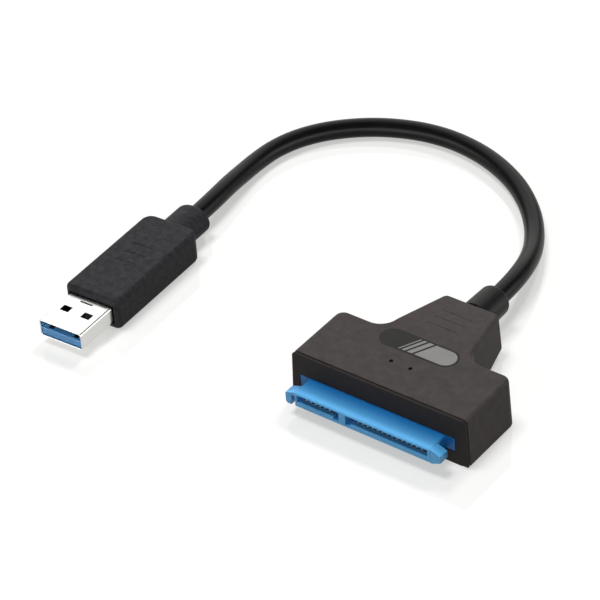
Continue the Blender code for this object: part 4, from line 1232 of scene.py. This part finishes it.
@dataclass(frozen=True)
class Plug:
    """The USB plug: a soft grip with an oval collar, a folded steel shell, and the tongue inside."""

    # Flexible PVC from a deeply eroded tool: charcoal, matt and mottled like leather, drawn twice as
    # coarse as it is, so that it shows
    grip_finish: Finish = Finish(
        "PVC moulded grip with spark-eroded texture", Surface.ERODED, "#161617", "#37363a", 0.55,
        ior=1.53, gloss=0.13, grain_mm=0.6, relief_mm=0.06, drift_mm=1.6, spread=0.07,
    )
    # Natural polyethylene: milky and waxy
    inner_finish: Finish = Finish(
        "Polyethylene inner mould", Surface.POLISHED, "#d6d6d2", "#e2e2de", 0.45, ior=1.51,
        grain_mm=0.6, relief_mm=0.002, drift_mm=4.0, glow=0.3,
    )
    width: float = 15.2 * MM
    height: float = 8.2 * MM
    length: float = 32.5 * MM
    rear_radius: float = 2.8 * MM
    front_radius: float = 1.5 * MM
    edge: float = 1.2 * MM
    collar: Triple = (9.4 * MM, 7.2 * MM, 8.4 * MM)
    collar_rounding: float = 1.2 * MM
    collar_face: float = 1.95 * MM
    collar_bore: float = 2.1 * MM
    collar_dimple: float = 0.35 * MM
    deboss_bars: int = 3
    deboss: Triple = (6.0 * MM, 1.2 * MM, 0.1 * MM)
    deboss_pitch: float = 3.4 * MM
    deboss_from_front: float = 17.0 * MM
    shell_width: float = 12.0 * MM
    shell_height: float = 4.5 * MM
    shell_reach: float = 11.7 * MM
    shell_seat: float = 7.0 * MM
    sheet: float = 0.3 * MM
    shell_radius: float = 0.7 * MM
    latch_hole: tuple[float, float] = (2.4 * MM, 2.0 * MM)
    latch_spacing: float = 5.9 * MM
    latch_from_tip: float = 6.3 * MM
    slot: tuple[float, float] = (3.5 * MM, 0.5 * MM)
    slot_from_tip: float = 10.1 * MM
    # Where the tongue's painted shade starts and where it is full, behind its lip
    tongue_blue: tuple[float, float] = (2.2 * MM, 4.8 * MM)
    inner_length: float = 9.0 * MM
    seam_width: float = 0.12 * MM
    gap: float = 0.3 * MM
    overrun: float = 1.0 * MM

    @property
    def mould_front(self) -> float:
        """The grip's front face along Y."""
        return -(self.collar[2] + self.length)

    @property
    def tip(self) -> float:
        """The shell's tip along Y."""
        return self.mould_front - self.shell_reach

    def tongue_shaded_finish(self) -> Finish:
        """PBT tongue from a polished tool: clear blue at the mouth, painted near black further in as painted
        shade deep inside the shell.

        Returns:
            The finish, with its lip where the frame has it.
        """
        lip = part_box("usb_tongue")[0].y
        # The pale blue at the lip is the tongue's own colour; the near black further in is painted shade
        return PaintedLipRamp(
            "PBT moulded tongue", Surface.POLISHED, "#0d1f31", "#122638", 0.33, ior=1.57,
            grain_mm=0.4, relief_mm=0.001, drift_mm=4.0, glow=0.1,
            pale="#5fadf0", lip_y=lip + self.tongue_blue[0], deep_y=lip + self.tongue_blue[1],
        )

    def grip_mesh(self) -> Mesh:
        """The grip with its oval collar, its pocket for the shell and its three debossed bars.

        Returns:
            The grip as a mesh.
        """
        rear, front, top = -self.collar[2], self.mould_front, self.height / 2
        plan = both_sides([(self.width / 2, front, self.front_radius),
                           (self.width / 2, rear, self.rear_radius)])
        body = loft([flat(drawn_in(plan, inset, 10), z - top)
                     for z, inset in rim_profile(self.height, self.edge, self.edge, 8)])
        width, height, _ = self.collar
        stations = [(rear - self.edge - self.gap, 0.0)]
        stations += [(-short, drawn) for short, drawn in quarter(self.collar_rounding, 8)]
        stations += [(0.0, self.collar_face), (-self.collar_dimple, self.collar_bore)]
        collar = [upright(oval(width - 2 * inset, height - 2 * inset * height / width), y)
                  for y, inset in stations]
        half, high = self.shell_width / 2 + self.gap, self.shell_height / 2 + self.gap
        pocket_rear = front + self.shell_seat + self.inner_length + 2 * self.gap
        tools = [(Shape.JOIN, loft(collar)),
                 (Shape.CUT, block((-half, front - self.overrun, -high), (half, pocket_rear, high)))]
        length, bar_width, depth = self.deboss
        for index in range(self.deboss_bars):
            y = front + self.deboss_from_front + (index - (self.deboss_bars - 1) / 2) * self.deboss_pitch
            bar = slot_outline((0.0, y), length, bar_width, 10)
            tools.append((Shape.CUT, prism(bar, top - depth, top + self.overrun)))
        return shaped(body, tools)

    def shell_mesh(self) -> Mesh:
        """The folded shell with rolled lips, four latch holes, a slot and the seam underneath.

        Returns:
            The shell as a mesh.
        """
        rear, tip, lip, steps = self.mould_front + self.shell_seat, self.tip, self.sheet / 2, 6
        turns = [math.pi * step / steps for step in range(steps + 1)]
        rolled = [(tip + lip - lip * math.sin(turn), lip - lip * math.cos(turn)) for turn in turns]
        half, high = self.shell_width / 2, self.shell_height / 2
        corners = [(x, z, self.shell_radius)
                   for x, z in ((-half, -high), (half, -high), (half, high), (-half, high))]
        shell = loft([upright(drawn_in(corners, inset, 8), y)
                      for y, inset in [(rear, 0.0), *rolled, (rear, self.sheet)]], tube=True)
        reach = high + self.overrun
        openings = [(side * self.latch_spacing / 2, self.latch_from_tip, self.latch_hole, -reach)
                    for side in (-1, 1)]
        openings.append((0.0, self.slot_from_tip, self.slot, 0.0))
        tools = [(Shape.CUT, block(
            (x - width / 2, tip + y - length / 2, low), (x + width / 2, tip + y + length / 2, reach),
        )) for x, y, (width, length), low in openings]
        tools.append((Shape.CUT, block(
            (-self.seam_width / 2, tip - self.overrun, -reach),
            (self.seam_width / 2, rear + self.overrun, self.seam_width - high),
        )))
        return shaped(shell, tools)

    def build(self, cord: Cord) -> list[Item]:
        """Adds the grip and the shell, and dresses what the shell holds.

        Args:
            cord: the cord that the plug is on.

        Returns:
            Every piece of the plug.
        """
        place = Place(cord.plug_matrix(self.height))
        pieces = [
            place.add("plug_grip", self.grip_mesh(), self.grip_finish, "overmould_black", ["usb_overmould"]),
            place.add("plug_shell", self.shell_mesh(), NICKEL_STEEL, "shell_steel", ["usb_shell"]),
            dress("usb_tongue", self.tongue_shaded_finish(), 0.08),
            dress("usb_inner_mould", self.inner_finish, 0.1),
        ]
        contacts = [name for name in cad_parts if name.startswith("plug_") and name.endswith("_contact")]
        return pieces + [dress(name, CONTACT_PAINTED_SHADE, 0.04) for name in contacts]


@dataclass(frozen=True)
class Sun:
    """A plain soft lamp, far off, that glossy surfaces don't mirror.

    Attributes:
        name: its name.
        towards: the direction that it stands in.
        power: its strength.
        spread: how wide it looks, in degrees.
    """

    name: str
    towards: Triple
    power: float
    spread: float

    def build(self) -> None:
        """Adds the lamp, turned to shine from its direction."""
        light = bpy.data.lights.new(self.name, "SUN")
        light.energy = self.power
        light.angle = math.radians(self.spread)
        lamp = placed(self.name, light)
        lamp.rotation_euler = Vector(self.towards).to_track_quat("Z", "Y").to_euler()
        lamp.visible_glossy = False


@dataclass(frozen=True)
class Studio:
    """The pale floor, the soft lamps, the surroundings and the camera.

    Attributes:
        floor_half: half the floor's width.
        floor_colour: the floor's colour to the camera.
        background: the colour of the surroundings and of the floor's own light.
        floor_share: the part of the floor's own light in what the camera sees of it.
        floor_mirrored: the same in what glossy surfaces mirror.
        floor_bounce: the floor's colour to the light that it throws back on the object.
        floor_roughness: how rough its sheet is.
        room: the strength of the even light all round.
        screen: the strength of the white screen behind, which only glossy surfaces mirror.
        screen_towards: where that screen stands.
        screen_edges: how nearly a ray points to it where it starts and where it is full.
        gloom: the strength of the rest of what they mirror.
        wall: the strength of the low wall in front, which they mirror too.
        wall_towards: where that wall stands.
        wall_edges: how nearly a ray points to it where it starts and where it is full.
        wall_top: the height of a ray where the wall ends and where it is full.
        lamps: the soft lamps.
        camera_place: where the camera stands.
        azimuth: its angle round the object.
        elevation: its angle above the floor.
        roll: its turn about its own axis.
        lens_mm: its focal length.
        sensor_mm: its sensor's width.
        shift: how far the picture is shifted, in widths.
    """

    floor_half: float = 20.0
    floor_colour: str = "#fcfcfa"
    background: str = "#fefefc"
    floor_share: float = 0.5
    floor_mirrored: float = 0.62
    floor_bounce: str = "#8e8e8c"
    floor_roughness: float = 0.06
    room: float = 0.22
    screen: float = 1.28
    screen_towards: Triple = (-0.50, 0.62, 0.60)
    screen_edges: tuple[float, float] = (0.72, 0.90)
    gloom: float = 0.15
    wall: float = 5.0
    wall_towards: Triple = (0.63, -0.77, 0.0)
    wall_edges: tuple[float, float] = (-0.5, 0.4)
    wall_top: tuple[float, float] = (0.52, 0.22)
    lamps: tuple[Sun, ...] = (
        Sun("key_above", (-0.24, -0.08, 0.97), 1.72, 20.0),
        Sun("key_behind", (-0.10, 0.62, 0.78), 1.1, 10.0),
        Sun("fill_front", (0.15, -0.80, 0.45), 0.36, 50.0),
    )
    camera_place: Triple = (0.29668, -0.40518, 0.40455)
    azimuth: float = math.radians(39.406)
    elevation: float = math.radians(37.049)
    roll: float = math.radians(-4.496)
    lens_mm: float = 174.65
    sensor_mm: float = 36.0
    shift: tuple[float, float] = (0.0019, -0.0036)

    def build_camera(self) -> None:
        """Adds the camera at the photograph's viewing angle, and makes it the scene's."""
        right = Vector((math.cos(self.azimuth), math.sin(self.azimuth), 0.0))
        level = math.cos(self.elevation)
        back = Vector((
            level * math.sin(self.azimuth), -level * math.cos(self.azimuth), math.sin(self.elevation),
        ))
        turn = Matrix((right, back.cross(right), back)).transposed() @ Matrix.Rotation(self.roll, 3, "Z")
        lens = bpy.data.cameras.new("camera")
        lens.sensor_width = self.sensor_mm
        lens.lens = self.lens_mm
        lens.shift_x, lens.shift_y = self.shift
        lens.clip_start = 10 * MM
        camera = placed("camera", lens)
        camera.matrix_world = Matrix.Translation(self.camera_place) @ turn.to_4x4()
        bpy.context.scene.camera = camera

    def build_world(self) -> None:
        """Makes an even room, white to the camera; glosses mirror a screen behind and a wall in front."""
        world = bpy.data.worlds.new("surroundings")
        tree = blank_tree(world)
        towards = add_node(tree, "TexCoord").outputs["Generated"]

        def along(direction: Triple) -> Socket:
            """How nearly a ray points in a direction."""
            wanted = {0: towards, 1: Vector(direction).normalized()}
            return add_node(tree, "VectorMath", {"operation": "DOT_PRODUCT"}, wanted).outputs["Value"]

        height = add_node(tree, "SeparateXYZ", inputs={"Vector": towards}).outputs["Z"]
        wall = reckon(tree, "MULTIPLY", ease(tree, along(self.wall_towards), self.wall_edges, self.wall),
                      ease(tree, height, self.wall_top))
        screen = ease(tree, along(self.screen_towards), self.screen_edges, self.screen)
        mirrored = reckon(tree, "ADD", reckon(tree, "ADD", wall, screen), self.gloom)
        path = add_node(tree, "LightPath").outputs
        unseen = mix(tree, Mixed.NUMBER, path["Is Glossy Ray"], self.room, mirrored)
        strength = mix(tree, Mixed.NUMBER, path["Is Camera Ray"], unseen, 1.0)
        sky = add_node(tree, "Background", inputs={"Color": linear(self.background), "Strength": strength})
        add_node(tree, "OutputWorld", inputs={"Surface": sky.outputs[0]})
        bpy.context.scene.world = world

    def build_floor(self) -> None:
        """Adds the floor: white to the camera, it keeps the shadow, and it can't be seen from below."""
        made = bmesh.new()
        bmesh.ops.create_grid(made, x_segments=8, y_segments=8, size=self.floor_half)
        floor = placed("floor", to_mesh(made))
        paint = bpy.data.materials.new("Acrylic sheet satin white")
        tree = blank_tree(paint)
        path = add_node(tree, "LightPath").outputs
        indirect = reckon(tree, "ADD", path["Is Glossy Ray"], path["Is Transmission Ray"])
        own = reckon(tree, "MULTIPLY_ADD", path["Is Camera Ray"], self.floor_share,
                     reckon(tree, "MULTIPLY", indirect, self.floor_mirrored))
        colour = mix(tree, Mixed.COLOUR, path["Is Camera Ray"], linear(self.floor_bounce),
                     linear(self.floor_colour))
        sheet = add_node(tree, "BsdfPrincipled", inputs={
            "Base Color": colour, "Roughness": self.floor_roughness, "Specular IOR Level": 1.0,
        })
        glow = add_node(tree, "Emission", inputs={"Color": linear(self.background), "Strength": 1.0})
        upper = add_node(tree, "MixShader", inputs={0: own, 1: sheet.outputs[0], 2: glow.outputs[0]})
        both = add_node(tree, "MixShader", inputs={
            0: add_node(tree, "NewGeometry").outputs["Backfacing"], 1: upper.outputs[0],
            2: add_node(tree, "BsdfTransparent").outputs[0],
        })
        add_node(tree, "OutputMaterial", inputs={"Surface": both.outputs[0]})
        floor.data.materials.append(paint)

    def build(self) -> None:
        """Sets up the camera, the surroundings, the lamps and the floor."""
        self.build_camera()
        self.build_world()
        for lamp in self.lamps:
            lamp.build()
        self.build_floor()
        bpy.context.scene.view_settings.view_transform = "Standard"


def main() -> None:
    """Builds the sub-assemblies in order."""
    logging.basicConfig(level=logging.INFO, format="%(name)s %(message)s")
    Studio().build()
    housing, cord = Housing(), Cord()
    housing.build()
    ReceptacleFace().build()
    Inside().build()
    collar = Collar().build(housing)
    plug = Plug().build(cord)
    cord.build([*plug, collar])


if __name__ == "__main__":
    main()
